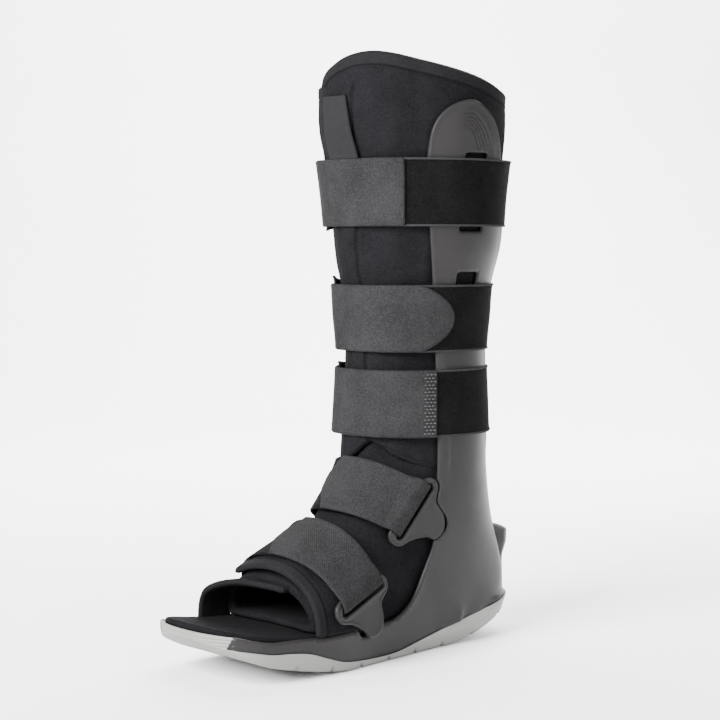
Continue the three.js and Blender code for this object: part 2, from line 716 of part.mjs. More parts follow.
function loopSolid(strap, gap, thickness) {
  const size = LOOP_SLOT_LENGTH / 2;
  const controls = LOOP_OUTLINE.map(({ along, across }) => new THREE.Vector3(along * size, across * size, 0));
  const curve = new THREE.CatmullRomCurve3(controls, true, 'centripetal');
  const drawn = curve.getPoints(32).slice(0, -1).map((p) => new THREE.Vector2(p.x, p.y));
  const shape = new THREE.Shape(offsetOutline(drawn, gap));
  if (gap === 0) {
    const hole = new THREE.Path();
    const end = LOOP_SLOT_LENGTH / 2 - LOOP_SLOT_WIDTH / 2;
    hole.absarc(end, 0, LOOP_SLOT_WIDTH / 2, -Math.PI / 2, Math.PI / 2, false);
    hole.absarc(-end, 0, LOOP_SLOT_WIDTH / 2, Math.PI / 2, (3 * Math.PI) / 2, false);
    shape.holes.push(hole);
  }
  const geometry = new THREE.ExtrudeGeometry(shape, { depth: thickness, bevelEnabled: false, curveSegments: 4 });
  geometry.translate(0, 0, -thickness / 2);
  geometry.applyMatrix4(loopFrame(strap));
  return toSolid(geometry);
}

const rise = (from, to, value) => THREE.MathUtils.smoothstep(value, from, to);

const lowerEdge = (degrees) => (
  tableAt(LOWER_EDGE, 'turn', degrees > 200 ? degrees - 360 : degrees, 'up') * SHAFT_TOP
);

// The padding swells over the shin and, above the heel cup, over the calf
function padSwell(degrees, z) {
  const turn = THREE.MathUtils.euclideanModulo(degrees, 360);
  const shin = rise(214, 234, turn) * (1 - rise(306, 324, turn));
  const open = rise(HEEL_CUP_TOP, HEEL_CUP_TOP + 30, z);
  const calf = rise(60, 78, turn) * (1 - rise(102, 120, turn)) * open;
  return (SHELL_WALL - SEAT_GAP) * Math.max(shin, calf);
}

// One sheet of padding wound round the leg: its outer end lies free over the shin, and its
// other end tucks in underneath
function shaftLiner() {
  const rows = [];
  const steps = 44;
  const heights = 8;
  for (let i = 0; i <= steps; i += 1) {
    const turn = THREE.MathUtils.lerp(WRAP_START, WRAP_END, i / steps);
    const tuck = rise(WRAP_STEP_FROM, WRAP_STEP_TO, turn) * (LINER_WALL + SEAT_GAP);
    const low = lowerEdge(turn);
    const high = tableAt(TOP_EDGE, 'turn', turn, 'up') * SHAFT_TOP;
    const row = [];
    for (let j = 0; j <= heights; j += 1) {
      const z = THREE.MathUtils.lerp(low, high, j / heights);
      const grow = padSwell(turn, z) - LINER_GAP - tuck;
      row.push({ outer: shaftPoint(turn, z, grow), inner: shaftPoint(turn, z, grow - LINER_WALL) });
    }
    rows.push(row);
  }
  return wall(rows, false);
}

// Distance from the liner's outer face, drawn in by depth
function linerDistance(p, depth) {
  const below = linerBottom(p.y) + depth - p.z;
  return Math.max(bodyDistance(p.x, p.y, p.z) + FOOT_LINER_GAP + depth, below);
}

// Runs along a ray from start and returns where it leaves the liner's volume
function linerReach(start, direction, depth, limit) {
  let low = 0;
  let high = limit;
  for (let i = 0; i < 24; i += 1) {
    const middle = (low + high) / 2;
    if (linerDistance(start.clone().addScaledVector(direction, middle), depth) < 0) {
      low = middle;
    } else {
      high = middle;
    }
  }
  return low;
}

// One ring of the liner's lower part, in a plane that hangs from the fan's line at a tilt
function linerRing(tilt) {
  const pivot = new THREE.Vector3(0, alongToY(LINER_PIVOT.along), LINER_PIVOT.up * INSTEP_HEIGHT);
  const angle = THREE.MathUtils.degToRad(tilt);
  const down = new THREE.Vector3(0, Math.sin(angle), -Math.cos(angle));
  let first = 0;
  while (linerDistance(pivot.clone().addScaledVector(down, first), LINER_WALL) > 0) {
    first += 1;
  }
  let last = first;
  while (linerDistance(pivot.clone().addScaledVector(down, last), LINER_WALL) < 0) {
    last += 1;
  }
  const middle = pivot.clone().addScaledVector(down, (first + last) / 2);
  const ring = [];
  for (let i = 0; i < RING_POINTS; i += 1) {
    const turn = (2 * Math.PI * i) / RING_POINTS;
    const direction = new THREE.Vector3(Math.cos(turn), 0, 0).addScaledVector(down, Math.sin(turn));
    const outer = linerReach(middle, direction, 0, FOOT_LENGTH);
    const inner = linerReach(middle, direction, LINER_WALL, FOOT_LENGTH);
    ring.push({
      outer: middle.clone().addScaledVector(direction, outer),
      inner: middle.clone().addScaledVector(direction, inner),
    });
  }
  return ring;
}

// Level ring where the liner's lower part meets the shaft's wrap
function topRing() {
  const ring = [];
  for (let i = 0; i < RING_POINTS; i += 1) {
    const degrees = (360 * i) / RING_POINTS;
    const z = lowerEdge(degrees) - 3 * SEAT_GAP;
    ring.push({
      outer: shaftPoint(degrees, z, -FOOT_LINER_GAP),
      inner: shaftPoint(degrees, z, -FOOT_LINER_GAP - LINER_WALL),
    });
  }
  return ring;
}

// A stretch of the liner's lower part, its rings fanned between two tilts
function linerStretch(from, to, count, endRings) {
  const sections = [];
  for (let k = 0; k <= count; k += 1) {
    sections.push(linerRing(THREE.MathUtils.lerp(from, to, k / count)));
  }
  sections.push(...endRings);
  const rows = [];
  for (let i = 0; i < RING_POINTS; i += 1) {
    rows.push(sections.map((section) => section[i]));
  }
  return wall(rows, true);
}

// A point on the body in the vertical plane at y, at an angle about the foot's middle
function crossPoint(y, degrees, grow) {
  const angle = THREE.MathUtils.degToRad(degrees);
  const middle = new THREE.Vector3(0, y, linerBottom(y) + SEAT_GAP);
  const direction = new THREE.Vector3(Math.cos(angle), 0, Math.sin(angle));
  const base = middle.addScaledVector(direction, reach(middle, direction, FOOT_LENGTH));
  return base.clone().addScaledVector(bodyNormal(base), grow);
}

// Bound flap that laps over the forefoot from the wearer's left
function forefootFlap() {
  const rows = [];
  const steps = 16;
  const lengths = 5;
  for (let i = 0; i <= steps; i += 1) {
    const degrees = THREE.MathUtils.lerp(0, FLAP_SWEEP, i / steps);
    const row = [];
    for (let j = 0; j <= lengths; j += 1) {
      const y = THREE.MathUtils.lerp(alongToY(FLAP_BACK), alongToY(FLAP_FRONT), j / lengths);
      row.push({
        outer: crossPoint(y, degrees, SEAT_GAP + FLAP_WALL),
        inner: crossPoint(y, degrees, SEAT_GAP),
      });
    }
    rows.push(row);
  }
  return wall(rows, false);
}

// Lower flap that folds in over the toes from the other side, ahead of the liner's open end
function toeFlap() {
  const rows = [];
  const steps = 11;
  const lengths = 3;
  const back = alongToY(TOE_FLAP_BACK);
  for (let i = 0; i <= steps; i += 1) {
    const share = i / steps;
    const angle = THREE.MathUtils.degToRad(THREE.MathUtils.lerp(180, 180 - TOE_FLAP_SWEEP, share));
    const front = THREE.MathUtils.lerp(alongToY(TOE_FLAP_FRONT), back - 4, rise(0.25, 1, share));
    const row = [];
    for (let j = 0; j <= lengths; j += 1) {
      const y = THREE.MathUtils.lerp(back, front, j / lengths);
      const section = footSection(y);
      const width = section.halfWidth - LINER_GAP;
      const height = TOE_FLAP_HEIGHT;
      const along = (size, tall) => new THREE.Vector3(
        Math.sign(Math.cos(angle)) * Math.abs(Math.cos(angle)) ** TOE_FLAP_SQUARENESS * size,
        y,
        section.bottom + SEAT_GAP + Math.sin(angle) ** TOE_FLAP_SQUARENESS * tall,
      );
      row.push({ outer: along(width, height), inner: along(width - FLAP_WALL, height - FLAP_WALL) });
    }
    rows.push(row);
  }
  return wall(rows.reverse(), false);
}

// Grey strap over the shin: it lies on the pile band where both are there
function greyStrap(strap) {
  const rows = [];
  const steps = 22;
  for (let i = 0; i <= steps; i += 1) {
    const turn = THREE.MathUtils.lerp(GREY_START, strap.greyEnd, i / steps);
    const overPile = 1 - rise(PILE_END - 360, PILE_END - 348, turn) * (1 - rise(PILE_START - 12, PILE_START, turn));
    const base = SHELL_WALL + STRAP_LIFT + overPile * (PILE_THICKNESS + STRAP_LIFT);
    const fromEnd = (strap.greyEnd - turn) / strap.tip;
    const taper = strap.tip > 0 && fromEnd < 1 ? Math.max(fromEnd, 0.02) ** 0.72 : 1;
    rows.push(bandRow(turn, strap.rise, (STRAP_WIDTH / 2) * taper, base, STRAP_THICKNESS));
  }
  return wall(rows, false);
}

function bandRow(turn, middle, halfWidth, base, thickness) {
  return [-1, 0, 1].map((side) => {
    const z = middle + side * halfWidth;
    return { outer: shaftPoint(turn, z, base + thickness), inner: shaftPoint(turn, z, base) };
  });
}

// Pile band round the calf and over both uprights
function pileBand(strap) {
  const rows = [];
  const steps = 34;
  for (let i = 0; i <= steps; i += 1) {
    const turn = THREE.MathUtils.lerp(PILE_START, PILE_END, i / steps);
    const slip = strap.pileSlip * rise(180, PILE_END, turn);
    rows.push(bandRow(turn, strap.rise + slip, STRAP_WIDTH / 2, SHELL_WALL + STRAP_LIFT, PILE_THICKNESS));
  }
  return wall(rows, false);
}

// A point on the body in the plane of a foot strap: offset runs along the slot
function strapPoint(strap, offset, degrees, grow) {
  const slope = THREE.MathUtils.degToRad(strap.slope);
  const angle = THREE.MathUtils.degToRad(degrees);
  const along = new THREE.Vector3(0, -Math.cos(slope), -Math.sin(slope));
  const up = new THREE.Vector3(0, -Math.sin(slope), Math.cos(slope));
  const middle = new THREE.Vector3(0, alongToY(strap.along), strap.up)
    .addScaledVector(along, offset + strap.drift * Math.sin(angle));
  const direction = new THREE.Vector3(Math.cos(angle), 0, 0).addScaledVector(up, Math.sin(angle));
  const base = middle.addScaledVector(direction, reach(middle, direction, FOOT_LENGTH));
  return base.clone().addScaledVector(bodyNormal(base), grow);
}

// How far a foot strap's pile lies off the body: over the flap, on the liner, on the shell
function footPileGrow(strap, degrees) {
  const overFlap = strap.layers * (FLAP_WALL + SEAT_GAP) * (1 - rise(FLAP_SWEEP + 20, FLAP_SWEEP + 34, degrees));
  const overShell = SHELL_WALL * rise(154, 172, degrees);
  return STRAP_LIFT + overFlap + overShell;
}

function footStrapRow(strap, degrees, halfWidth, grow, thickness) {
  return [-1, 0, 1].map((share) => ({
    outer: strapPoint(strap, share * halfWidth, degrees, grow + thickness),
    inner: strapPoint(strap, share * halfWidth, degrees, grow),
  }));
}

function footPile(strap) {
  const rows = [];
  const steps = 16;
  for (let i = 0; i <= steps; i += 1) {
    const degrees = THREE.MathUtils.lerp(FOOT_PILE_FROM, FOOT_PILE_TO, i / steps);
    const grow = footPileGrow(strap, degrees);
    rows.push(footStrapRow(strap, degrees, FOOT_STRAP_WIDTH / 2, grow, PILE_THICKNESS));
  }
  return wall(rows, false);
}

// Grey foot strap: from its tapered end down over the loop's bar and into the slot
function footStrap(strap) {
  const rows = [];
  const steps = 12;
  const frame = loopFrame(strap);
  const face = LOOP_THICKNESS / 2 + SEAT_GAP;
  const bar = LOOP_SLOT_WIDTH / 2 - SEAT_GAP;
  const barRow = (inner, outer) => [-1, 0, 1].map((share) => ({
    outer: new THREE.Vector3((share * FOOT_STRAP_WIDTH) / 2, outer[0], -outer[1]).applyMatrix4(frame),
    inner: new THREE.Vector3((share * FOOT_STRAP_WIDTH) / 2, inner[0], -inner[1]).applyMatrix4(frame),
  }));
  rows.push(barRow([bar, -face], [bar - STRAP_THICKNESS, -face]));
  rows.push(barRow([bar, face], [bar - STRAP_THICKNESS, face + STRAP_THICKNESS]));
  rows.push(barRow([LOOP_SLOT_LENGTH * 0.205, face], [LOOP_SLOT_LENGTH * 0.205, face + STRAP_THICKNESS]));
  for (let i = 0; i <= steps; i += 1) {
    const degrees = THREE.MathUtils.lerp(FOOT_GREY_FROM, FOOT_GREY_TO, i / steps);
    const fromEnd = (FOOT_GREY_TO - degrees) / FOOT_GREY_TIP;
    const taper = fromEnd < 1 ? 0.3 + 0.7 * fromEnd : 1;
    const grow = footPileGrow(strap, degrees) + PILE_THICKNESS + STRAP_LIFT;
    rows.push(footStrapRow(strap, degrees, (FOOT_STRAP_WIDTH / 2) * taper, grow, STRAP_THICKNESS));
  }
  return wall(rows, false);
}

// Small folded tab of fabric, sewn at the liner's upper edge and left blank
function labelTab() {
  const rows = [];
  const steps = 6;
  const middle = SHAFT_STRAPS[0].rise + STRAP_WIDTH / 2 + TAB_LENGTH / 2 + 1;
  for (let i = 0; i <= steps; i += 1) {
    const turn = THREE.MathUtils.lerp(TAB_FROM, TAB_TO, i / steps);
    const lift = SHELL_WALL - SEAT_GAP - LINER_GAP + SEAT_GAP + 0.5 * (i / steps);
    rows.push(bandRow(turn, middle, TAB_LENGTH / 2, lift, TAB_THICKNESS));
  }
  return wall(rows, false);
}

addMesh('outsole', toGeometry(outsole()), COLOURS.outsole, 0.75);
addMesh('shell', shell(), COLOURS.shell, 0.55);
addMesh('footbed', toGeometry(footbedSolid(0)), COLOURS.footbed, 0.9);
addMesh('shaft_liner', shaftLiner(), COLOURS.liner, 0.95);
const frontEnd = LINER_FAN_SPLIT - LINER_FAN_GAP;
addMesh('foot_liner', linerStretch(LINER_FAN_FROM, frontEnd, 5, []), COLOURS.liner, 0.95);
addMesh('ankle_liner', linerStretch(LINER_FAN_SPLIT, LINER_FAN_TO, 7, [topRing()]), COLOURS.liner, 0.95);
addMesh('forefoot_flap', forefootFlap(), COLOURS.liner, 0.95);
addMesh('toe_flap', toeFlap(), COLOURS.liner, 0.95);
addMesh('label_tab', labelTab(), COLOURS.tab, 0.8);
SHAFT_STRAPS.forEach((strap) => {
  addMesh(`shaft_strap_${strap.name}`, greyStrap(strap), COLOURS.strap, 0.9);
  addMesh(`shaft_pile_${strap.name}`, pileBand(strap), COLOURS.pile, 1);
});
FOOT_STRAPS.forEach((strap) => {
  addMesh(`${strap.name}_loop`, toGeometry(loopSolid(strap, 0, LOOP_THICKNESS)), COLOURS.loop, 0.5);
  addMesh(`${strap.name}_strap`, footStrap(strap), COLOURS.strap, 0.9);
  addMesh(`${strap.name}_pile`, footPile(strap), COLOURS.pile, 1);
});

export default group;
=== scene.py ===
"""Looks of the tall walking boot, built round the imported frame.

Lengths inside this script are millimetres in the part's frame (+Z up, toe towards -Y) and turn
into metres where a mesh is made. The body is the padded leg and foot that everything follows.
"""

import math

import bmesh
import bpy
import numpy as np
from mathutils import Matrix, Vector, geometry


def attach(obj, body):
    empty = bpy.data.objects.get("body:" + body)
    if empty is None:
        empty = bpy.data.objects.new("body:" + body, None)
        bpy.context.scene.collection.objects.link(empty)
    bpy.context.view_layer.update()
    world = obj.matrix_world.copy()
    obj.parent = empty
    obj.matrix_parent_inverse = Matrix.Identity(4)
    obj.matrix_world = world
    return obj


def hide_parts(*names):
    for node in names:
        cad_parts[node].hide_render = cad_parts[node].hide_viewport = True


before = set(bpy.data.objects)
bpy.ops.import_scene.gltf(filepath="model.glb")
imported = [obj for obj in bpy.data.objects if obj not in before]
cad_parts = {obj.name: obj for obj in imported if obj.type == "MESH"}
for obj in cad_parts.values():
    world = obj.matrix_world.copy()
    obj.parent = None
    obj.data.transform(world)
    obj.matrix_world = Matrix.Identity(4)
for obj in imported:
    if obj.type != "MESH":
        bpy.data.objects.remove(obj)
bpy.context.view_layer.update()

MM = 0.001

# Sizes shared with the solids
FOOT_LENGTH = 286.0
LIP_REACH = 3.0
BALL_HALF_WIDTH = 54.0
TOE_ROUND = 38.0
HEEL_ROUND = 42.0
TOE_PLATE_TOP = 38.0
BUMPER_DEPTH = 14.0
FOOTBED_THICKNESS = 5.0
INSTEP_HEIGHT = 102.5
HEEL_TO_SHAFT = 79.0
SHAFT_TOP = 414.0
CALF_HALF_WIDTH = 65.0
CALF_HALF_DEPTH = 71.0
UPRIGHT_TOP = 383.0
HEEL_CUP_TOP = 172.0
SHELL_WALL = 3.0
TRAY_INSET = 1.0
LINER_WALL = 5.0
FLAP_WALL = 3.6
PILE_THICKNESS = 1.3
STRAP_THICKNESS = 1.8
LINER_GAP = 1.0
FOOT_LINER_GAP = 3.3
STRAP_LIFT = 0.8
SEAT_GAP = 0.4
STRAP_WIDTH = 45.0
WINDOW_WIDTH = 22.5
FOOT_STRAP_WIDTH = 41.0
LOOP_SLOT_LENGTH = 46.0
LOOP_SLOT_WIDTH = 5.0
LOOP_THICKNESS = 3.0
LOOP_NOTCH_GAP = 0.6
HEEL_STRIP_WIDTH = 40.0
HEEL_STRIP_TOP = 73.0
HEEL_STRIP_PROUD = 2.0
LIP_WALL = 3.0
TAB_THICKNESS = 1.4
STRAP_RISES = (320.5, 233.5, 174.5)

# Sizes of the visible pieces alone
BUMPER_CUT_BACK = 3.0
BUMPER_LIP_DROP = 4.2
BUMPER_LIP_UPTURN = 0.8
TRAY_UNDER_BUMPER = 3.0
FOOTBED_TOE_INSET = 5.0
FOOTBED_OVER_LIP = 3.2
FOOTBED_TOE_FLOOR = 33.6
FACING_TOP = 394
TOE_FLAP_ARCH = 0.66
TOE_FLAP_RISE = 29.8
TAB_TOP = 386.0
EDGE_STEP = 1.4
GRID_STEP = 2.6
FINE_STEP = 0.95
FINE_FROM = 340

CURVE_STEPS = 16
REACH_STEPS = 24
RUN_STEPS = 20
EASE_STEPS = 90
TUBE_SIDES = 6

TOE_Y = -(FOOT_LENGTH + LIP_REACH) / 2
HEEL_Y = TOE_Y + FOOT_LENGTH
SHAFT_Y = HEEL_Y - HEEL_TO_SHAFT
BUMPER_END = TOE_Y + BUMPER_DEPTH - BUMPER_CUT_BACK
TRAY_FRONT = BUMPER_END - TRAY_UNDER_BUMPER
ARCH_ROUNDNESS = 2.3
ANKLE_BLEND = 14.0

# up, width, depth, back: shares of the shaft's top, half width, half depth and half depth
SHAFT_SECTIONS = np.array([
    (0.0, 0.59, 0.68, 0.36), (0.0725, 0.608, 0.717, 0.322), (0.109, 0.623, 0.772, 0.265),
    (0.145, 0.654, 0.815, 0.168), (0.193, 0.692, 0.818, 0.058), (0.2415, 0.708, 0.817, 0.0),
    (0.3575, 0.715, 0.765, -0.014), (0.505, 0.692, 0.72, -0.006), (0.568, 0.723, 0.745, -0.008),
    (0.621, 0.746, 0.774, 0.0), (0.688, 0.838, 0.846, 0.022), (0.773, 0.9, 0.887, 0.018),
    (0.833, 0.946, 0.923, 0.011), (0.882, 0.985, 0.966, -0.01), (0.966, 0.985, 0.973, -0.017),
    (1.0, 0.977, 0.965, -0.017),
])
# along, width
SOLE_PLAN = np.array([
    (0.0, 0.907), (0.102, 0.954), (0.223, 1.0), (0.329, 0.972), (0.451, 0.87), (0.590, 0.806),
    (0.731, 0.778), (0.854, 0.787), (1.0, 0.778),
])
# along, tread, seam, floor
SOLE_PROFILE = np.array([
    (0.0, 0.8, 0.7, 0.95), (0.014, 0.7, 0.69, 0.875), (0.067, 0.49, 0.63, 0.775),
    (0.119, 0.316, 0.555, 0.697), (0.171, 0.218, 0.526, 0.645), (0.223, 0.137, 0.466, 0.615),
    (0.277, 0.068, 0.326, 0.595), (0.325, 0.026, 0.21, 0.583), (0.374, 0.0, 0.155, 0.579),
    (0.455, 0.0, 0.118, 0.579), (0.525, 0.0, 0.132, 0.584), (0.601, 0.0, 0.237, 0.605),
    (0.717, 0.0, 0.42, 0.67), (0.797, 0.085, 0.55, 0.735), (0.854, 0.237, 0.645, 0.79),
    (0.923, 0.434, 0.73, 0.855), (1.0, 0.684, 0.79, 0.895),
])
# along, height
FOOT_TOP = np.array([
    (0.129, 0.25), (0.189, 0.275), (0.241, 0.335), (0.287, 0.41), (0.329, 0.475), (0.371, 0.54),
    (0.413, 0.63), (0.448, 0.73), (0.500, 0.935), (0.556, 1.1), (0.693, 1.25),
])
# along, up
TRAY_RIM = [
    (0.038, 0.882), (0.074, 0.803), (0.119, 0.742), (0.199, 0.724), (0.280, 0.68), (0.329, 0.68),
    (0.374, 0.697), (0.468, 0.7),
]
# back, up
UPRIGHT_EDGE = [
    (-0.86, 0.07), (-0.735, 0.08), (-0.595, 0.097), (-0.478, 0.125), (-0.375, 0.166),
    (-0.32, 0.198), (-0.29, 0.326), (-0.285, 0.394), (-0.294, 0.553), (-0.353, 0.671),
    (-0.432, 0.752), (-0.527, 0.911), (-0.515, 0.949), (-0.451, 0.972), (-0.332, 0.99),
    (-0.113, 1.0), (0.038, 0.99), (0.194, 0.966), (0.307, 0.932), (0.408, 0.875), (0.59, 0.789),
    (0.63, 0.744), (0.62, 0.684), (0.54, 0.546), (0.545, 0.47), (0.63, 0.41), (0.72, 0.375),
    (0.873, 0.36),
]
TOP_EDGE = np.array([
    (-112, 0.935), (-106, 0.967), (-92, 0.988), (-75, 0.999), (-60, 0.999), (-35, 0.985),
    (0, 0.964), (30, 0.945), (60, 0.935), (90, 0.932), (120, 0.935), (150, 0.94), (180, 0.945),
    (215, 0.952), (250, 0.955), (310, 0.955),
])
LOWER_EDGE = np.array([
    (-160, 0.31), (-112, 0.322), (-94, 0.332), (-76, 0.36), (-55, 0.341), (-32, 0.32), (-10, 0.31),
])


def table_at(table, place, column=1):
    """Smooth interpolation of one column of a table, its first column being the key."""
    x, y = table[:, 0], table[:, column]
    place = np.clip(np.asarray(place, float), x[0], x[-1])
    slope = np.empty_like(y)
    slope[1:-1] = (y[2:] - y[:-2]) / (x[2:] - x[:-2])
    slope[0] = (y[1] - y[0]) / (x[1] - x[0])
    slope[-1] = (y[-1] - y[-2]) / (x[-1] - x[-2])
    i = np.clip(np.searchsorted(x, place, side="right") - 1, 0, len(x) - 2)
    span = x[i + 1] - x[i]
    t = (place - x[i]) / span
    return ((2 * t ** 3 - 3 * t ** 2 + 1) * y[i] + (t ** 3 - 2 * t ** 2 + t) * span * slope[i]
            + (-2 * t ** 3 + 3 * t ** 2) * y[i + 1] + (t ** 3 - t ** 2) * span * slope[i + 1])


def smooth(a, b, v):
    t = np.clip((np.asarray(v, float) - a) / (b - a), 0, 1)
    return t * t * (3 - 2 * t)


def lerp(a, b, t):
    return a + (b - a) * t


def along_y(share):
    return TOE_Y + share * FOOT_LENGTH


def profile_at(y, column):
    share = (np.asarray(y, float) - TOE_Y) / FOOT_LENGTH
    return np.maximum(table_at(SOLE_PROFILE, share, column), 0) * TOE_PLATE_TOP


TREAD, SEAM, FLOOR = 1, 2, 3


def plan_half_width(y, inset, toe_inset):
    y = np.asarray(y, float)
    full = table_at(SOLE_PLAN, (y - TOE_Y) / FOOT_LENGTH) * BALL_HALF_WIDTH - inset
    from_toe = np.clip((y - TOE_Y - toe_inset) / TOE_ROUND, 0, 1)
    from_heel = np.clip((HEEL_Y - inset - y) / HEEL_ROUND, 0, 1)
    return full * (1 - (1 - from_toe) ** 2.5) ** 0.4 * (1 - (1 - from_heel) ** 2) ** 0.5


def shaft_section(z):
    up = np.asarray(z, float) / SHAFT_TOP
    return (table_at(SHAFT_SECTIONS, up, 1) * CALF_HALF_WIDTH,
            table_at(SHAFT_SECTIONS, up, 2) * CALF_HALF_DEPTH,
            SHAFT_Y + table_at(SHAFT_SECTIONS, up, 3) * CALF_HALF_DEPTH)


def shaft_point(degrees, z, grow):
    width, depth, centre = shaft_section(z)
    a = np.radians(degrees)
    return np.stack(np.broadcast_arrays((width + grow) * np.cos(a),
                                        centre + (depth + grow) * np.sin(a), z), -1)


def liner_bottom(y):
    return profile_at(y, FLOOR) + 2 * SEAT_GAP + FOOTBED_THICKNESS


def body_distance(p):
    """Distance of points from the padded leg and foot, negative inside."""
    x, y, z = p[..., 0], p[..., 1], p[..., 2]
    width, depth, centre = shaft_section(z)
    a, b = x / width, (y - centre) / depth
    size = np.maximum(np.hypot(a, b), 1e-6)
    steep = np.hypot(a / width, b / depth) / size
    shaft = (size - 1) / np.maximum(steep, 1e-6)
    share = (y - TOE_Y) / FOOT_LENGTH
    half = table_at(SOLE_PLAN, share) * BALL_HALF_WIDTH - TRAY_INSET - SHELL_WALL
    tall = table_at(FOOT_TOP, share) * INSTEP_HEIGHT
    a, b = np.abs(x) / half, np.maximum(z - liner_bottom(y), 0) / tall
    k = ARCH_ROUNDNESS
    size = np.maximum((a ** k + b ** k) ** (1 / k), 1e-6)
    steep = np.hypot(a ** (k - 1) / half, b ** (k - 1) / tall)
    foot = (size - 1) / np.maximum(steep / size ** (k - 1), 1e-6)
    foot = np.maximum(foot, y - SHAFT_Y)
    near = np.maximum(ANKLE_BLEND - np.abs(shaft - foot), 0) / ANKLE_BLEND
    return np.minimum(shaft, foot) - near * near * ANKLE_BLEND / 4


def reach(start, direction, limit, inside):
    """How far each ray runs before it leaves what inside() says."""
    low = np.zeros(start.shape[:-1])
    high = np.full(start.shape[:-1], float(limit))
    for _ in range(REACH_STEPS):
        middle = (low + high) / 2
        ok = inside(start + direction * middle[..., None])
        low = np.where(ok, middle, low)
        high = np.where(ok, high, middle)
    return low


def in_body(p):
    return body_distance(p) < 0


def body_normal(p):
    step = 0.5
    g = np.stack([body_distance(p + step * axis) - body_distance(p - step * axis)
                  for axis in np.eye(3)], -1)
    return g / np.maximum(np.linalg.norm(g, axis=-1, keepdims=True), 1e-9)


def groove(distance, width):
    """Cross section of a pressed line: 1 in its middle."""
    return np.exp(-(distance / width) ** 2)


def unit(v):
    return v / np.maximum(np.linalg.norm(v, axis=-1, keepdims=True), 1e-9)


def catmull(points, spacing, closed=False):
    """Centripetal curve through 2-D or 3-D points, resampled to an even spacing."""
    p = np.asarray(points, float)
    if closed:
        p = np.vstack([p[-1], p, p[0], p[1]])
    else:
        p = np.vstack([2 * p[0] - p[1], p, 2 * p[-1] - p[-2]])
    out = []
    for i in range(1, len(p) - 2):
        gaps = [max(np.linalg.norm(p[i + j] - p[i + j - 1]), 1e-9) ** 0.5 for j in range(3)]
        k = np.cumsum([0] + gaps)
        t = np.linspace(k[1], k[2], CURVE_STEPS, endpoint=False)[:, None]
        q = p[i - 1:i + 3]
        a1 = (k[1] - t) / (k[1] - k[0]) * q[0] + (t - k[0]) / (k[1] - k[0]) * q[1]
        a2 = (k[2] - t) / (k[2] - k[1]) * q[1] + (t - k[1]) / (k[2] - k[1]) * q[2]
        a3 = (k[3] - t) / (k[3] - k[2]) * q[2] + (t - k[2]) / (k[3] - k[2]) * q[3]
        b1 = (k[2] - t) / (k[2] - k[0]) * a1 + (t - k[0]) / (k[2] - k[0]) * a2
        b2 = (k[3] - t) / (k[3] - k[1]) * a2 + (t - k[1]) / (k[3] - k[1]) * a3
        out.append((k[2] - t) / (k[2] - k[1]) * b1 + (t - k[1]) / (k[2] - k[1]) * b2)
    line = np.vstack(out + ([] if closed else [p[-2:-1]]))
    return resample(line, spacing, closed)


def resample(line, spacing, closed=False):
    if closed:
        line = np.vstack([line, line[:1]])
    length = np.concatenate([[0], np.cumsum(np.linalg.norm(np.diff(line, axis=0), axis=1))])
    count = max(int(round(length[-1] / spacing)), 2)
    at = np.linspace(0, length[-1], count + 1)
    if closed:
        at = at[:-1]
    return np.stack([np.interp(at, length, line[:, c]) for c in range(line.shape[1])], -1)


# Materials
def add_node(tree, kind, **values):
    n = tree.nodes.new(kind)
    for key, value in values.items():
        if key in n.inputs:
            n.inputs[key].default_value = value
        else:
            setattr(n, key, value)
    return n


def new_material(name, roughness, specular):
    """A material with its node tree, its shader and the outputs of its coordinates."""
    mat = bpy.data.materials.new(name)
    mat.use_nodes = True
    tree = mat.node_tree
    shader = tree.nodes["Principled BSDF"]
    shader.inputs["Roughness"].default_value = roughness
    shader.inputs["Specular IOR Level"].default_value = specular
    return mat, tree, shader, add_node(tree, "ShaderNodeTexCoord").outputs


def tint_by(tree, shader, source, base, dark, light):
    """Lets a pattern tint the base colour. Dark and light are a level and a factor each."""
    ramp = add_node(tree, "ShaderNodeValToRGB")
    for element, (level, factor) in zip(ramp.color_ramp.elements, (dark, light)):
        element.position = level
        element.color = (*(min(c * factor, 1) for c in base), 1)
    tree.links.new(source, ramp.inputs[0])
    tree.links.new(ramp.outputs[0], shader.inputs["Base Color"])


def noise(tree, vector, scale, detail=3.0, rough=0.55):
    n = add_node(tree, "ShaderNodeTexNoise", Scale=scale, Detail=detail, Roughness=rough)
    tree.links.new(vector, n.inputs["Vector"])
    return n.outputs["Fac"]


def math_node(tree, op, a, b):
    n = add_node(tree, "ShaderNodeMath", operation=op)
    for i, v in enumerate((a, b)):
        if isinstance(v, (int, float)):
            n.inputs[i].default_value = v
        else:
            tree.links.new(v, n.inputs[i])
    return n.outputs[0]


def mixed(tree, *parts):
    """Sum of patterns, each given with its weight."""
    terms = [math_node(tree, "MULTIPLY", source, weight) for source, weight in parts]
    total = terms.pop()
    while terms:
        total = math_node(tree, "ADD", terms.pop(), total)
    return total


def bump(tree, shader, height, strength, distance):
    n = add_node(tree, "ShaderNodeBump", Strength=strength, Distance=distance)
    tree.links.new(height, n.inputs["Height"])
    tree.links.new(n.outputs[0], shader.inputs["Normal"])


def plastic_material(name, base, roughness, grain):
    """Moulded plastic: fine spark-eroded grain, faint cloudiness and scuffs."""
    mat, tree, shader, places = new_material(name, roughness, 0.14)
    at = places["Object"]
    tint_by(tree, shader, noise(tree, at, 22.0, 4.0), base, (0.3, 0.9), (0.7, 1.1))
    rough = add_node(tree, "ShaderNodeMapRange")
    rough.inputs["To Min"].default_value = roughness - 0.05
    rough.inputs["To Max"].default_value = roughness + 0.07
    tree.links.new(noise(tree, at, 60.0, 5.0), rough.inputs["Value"])
    tree.links.new(rough.outputs[0], shader.inputs["Roughness"])
    bump(tree, shader, noise(tree, at, 2600.0, 2.0), grain, 0.00012)
    return mat


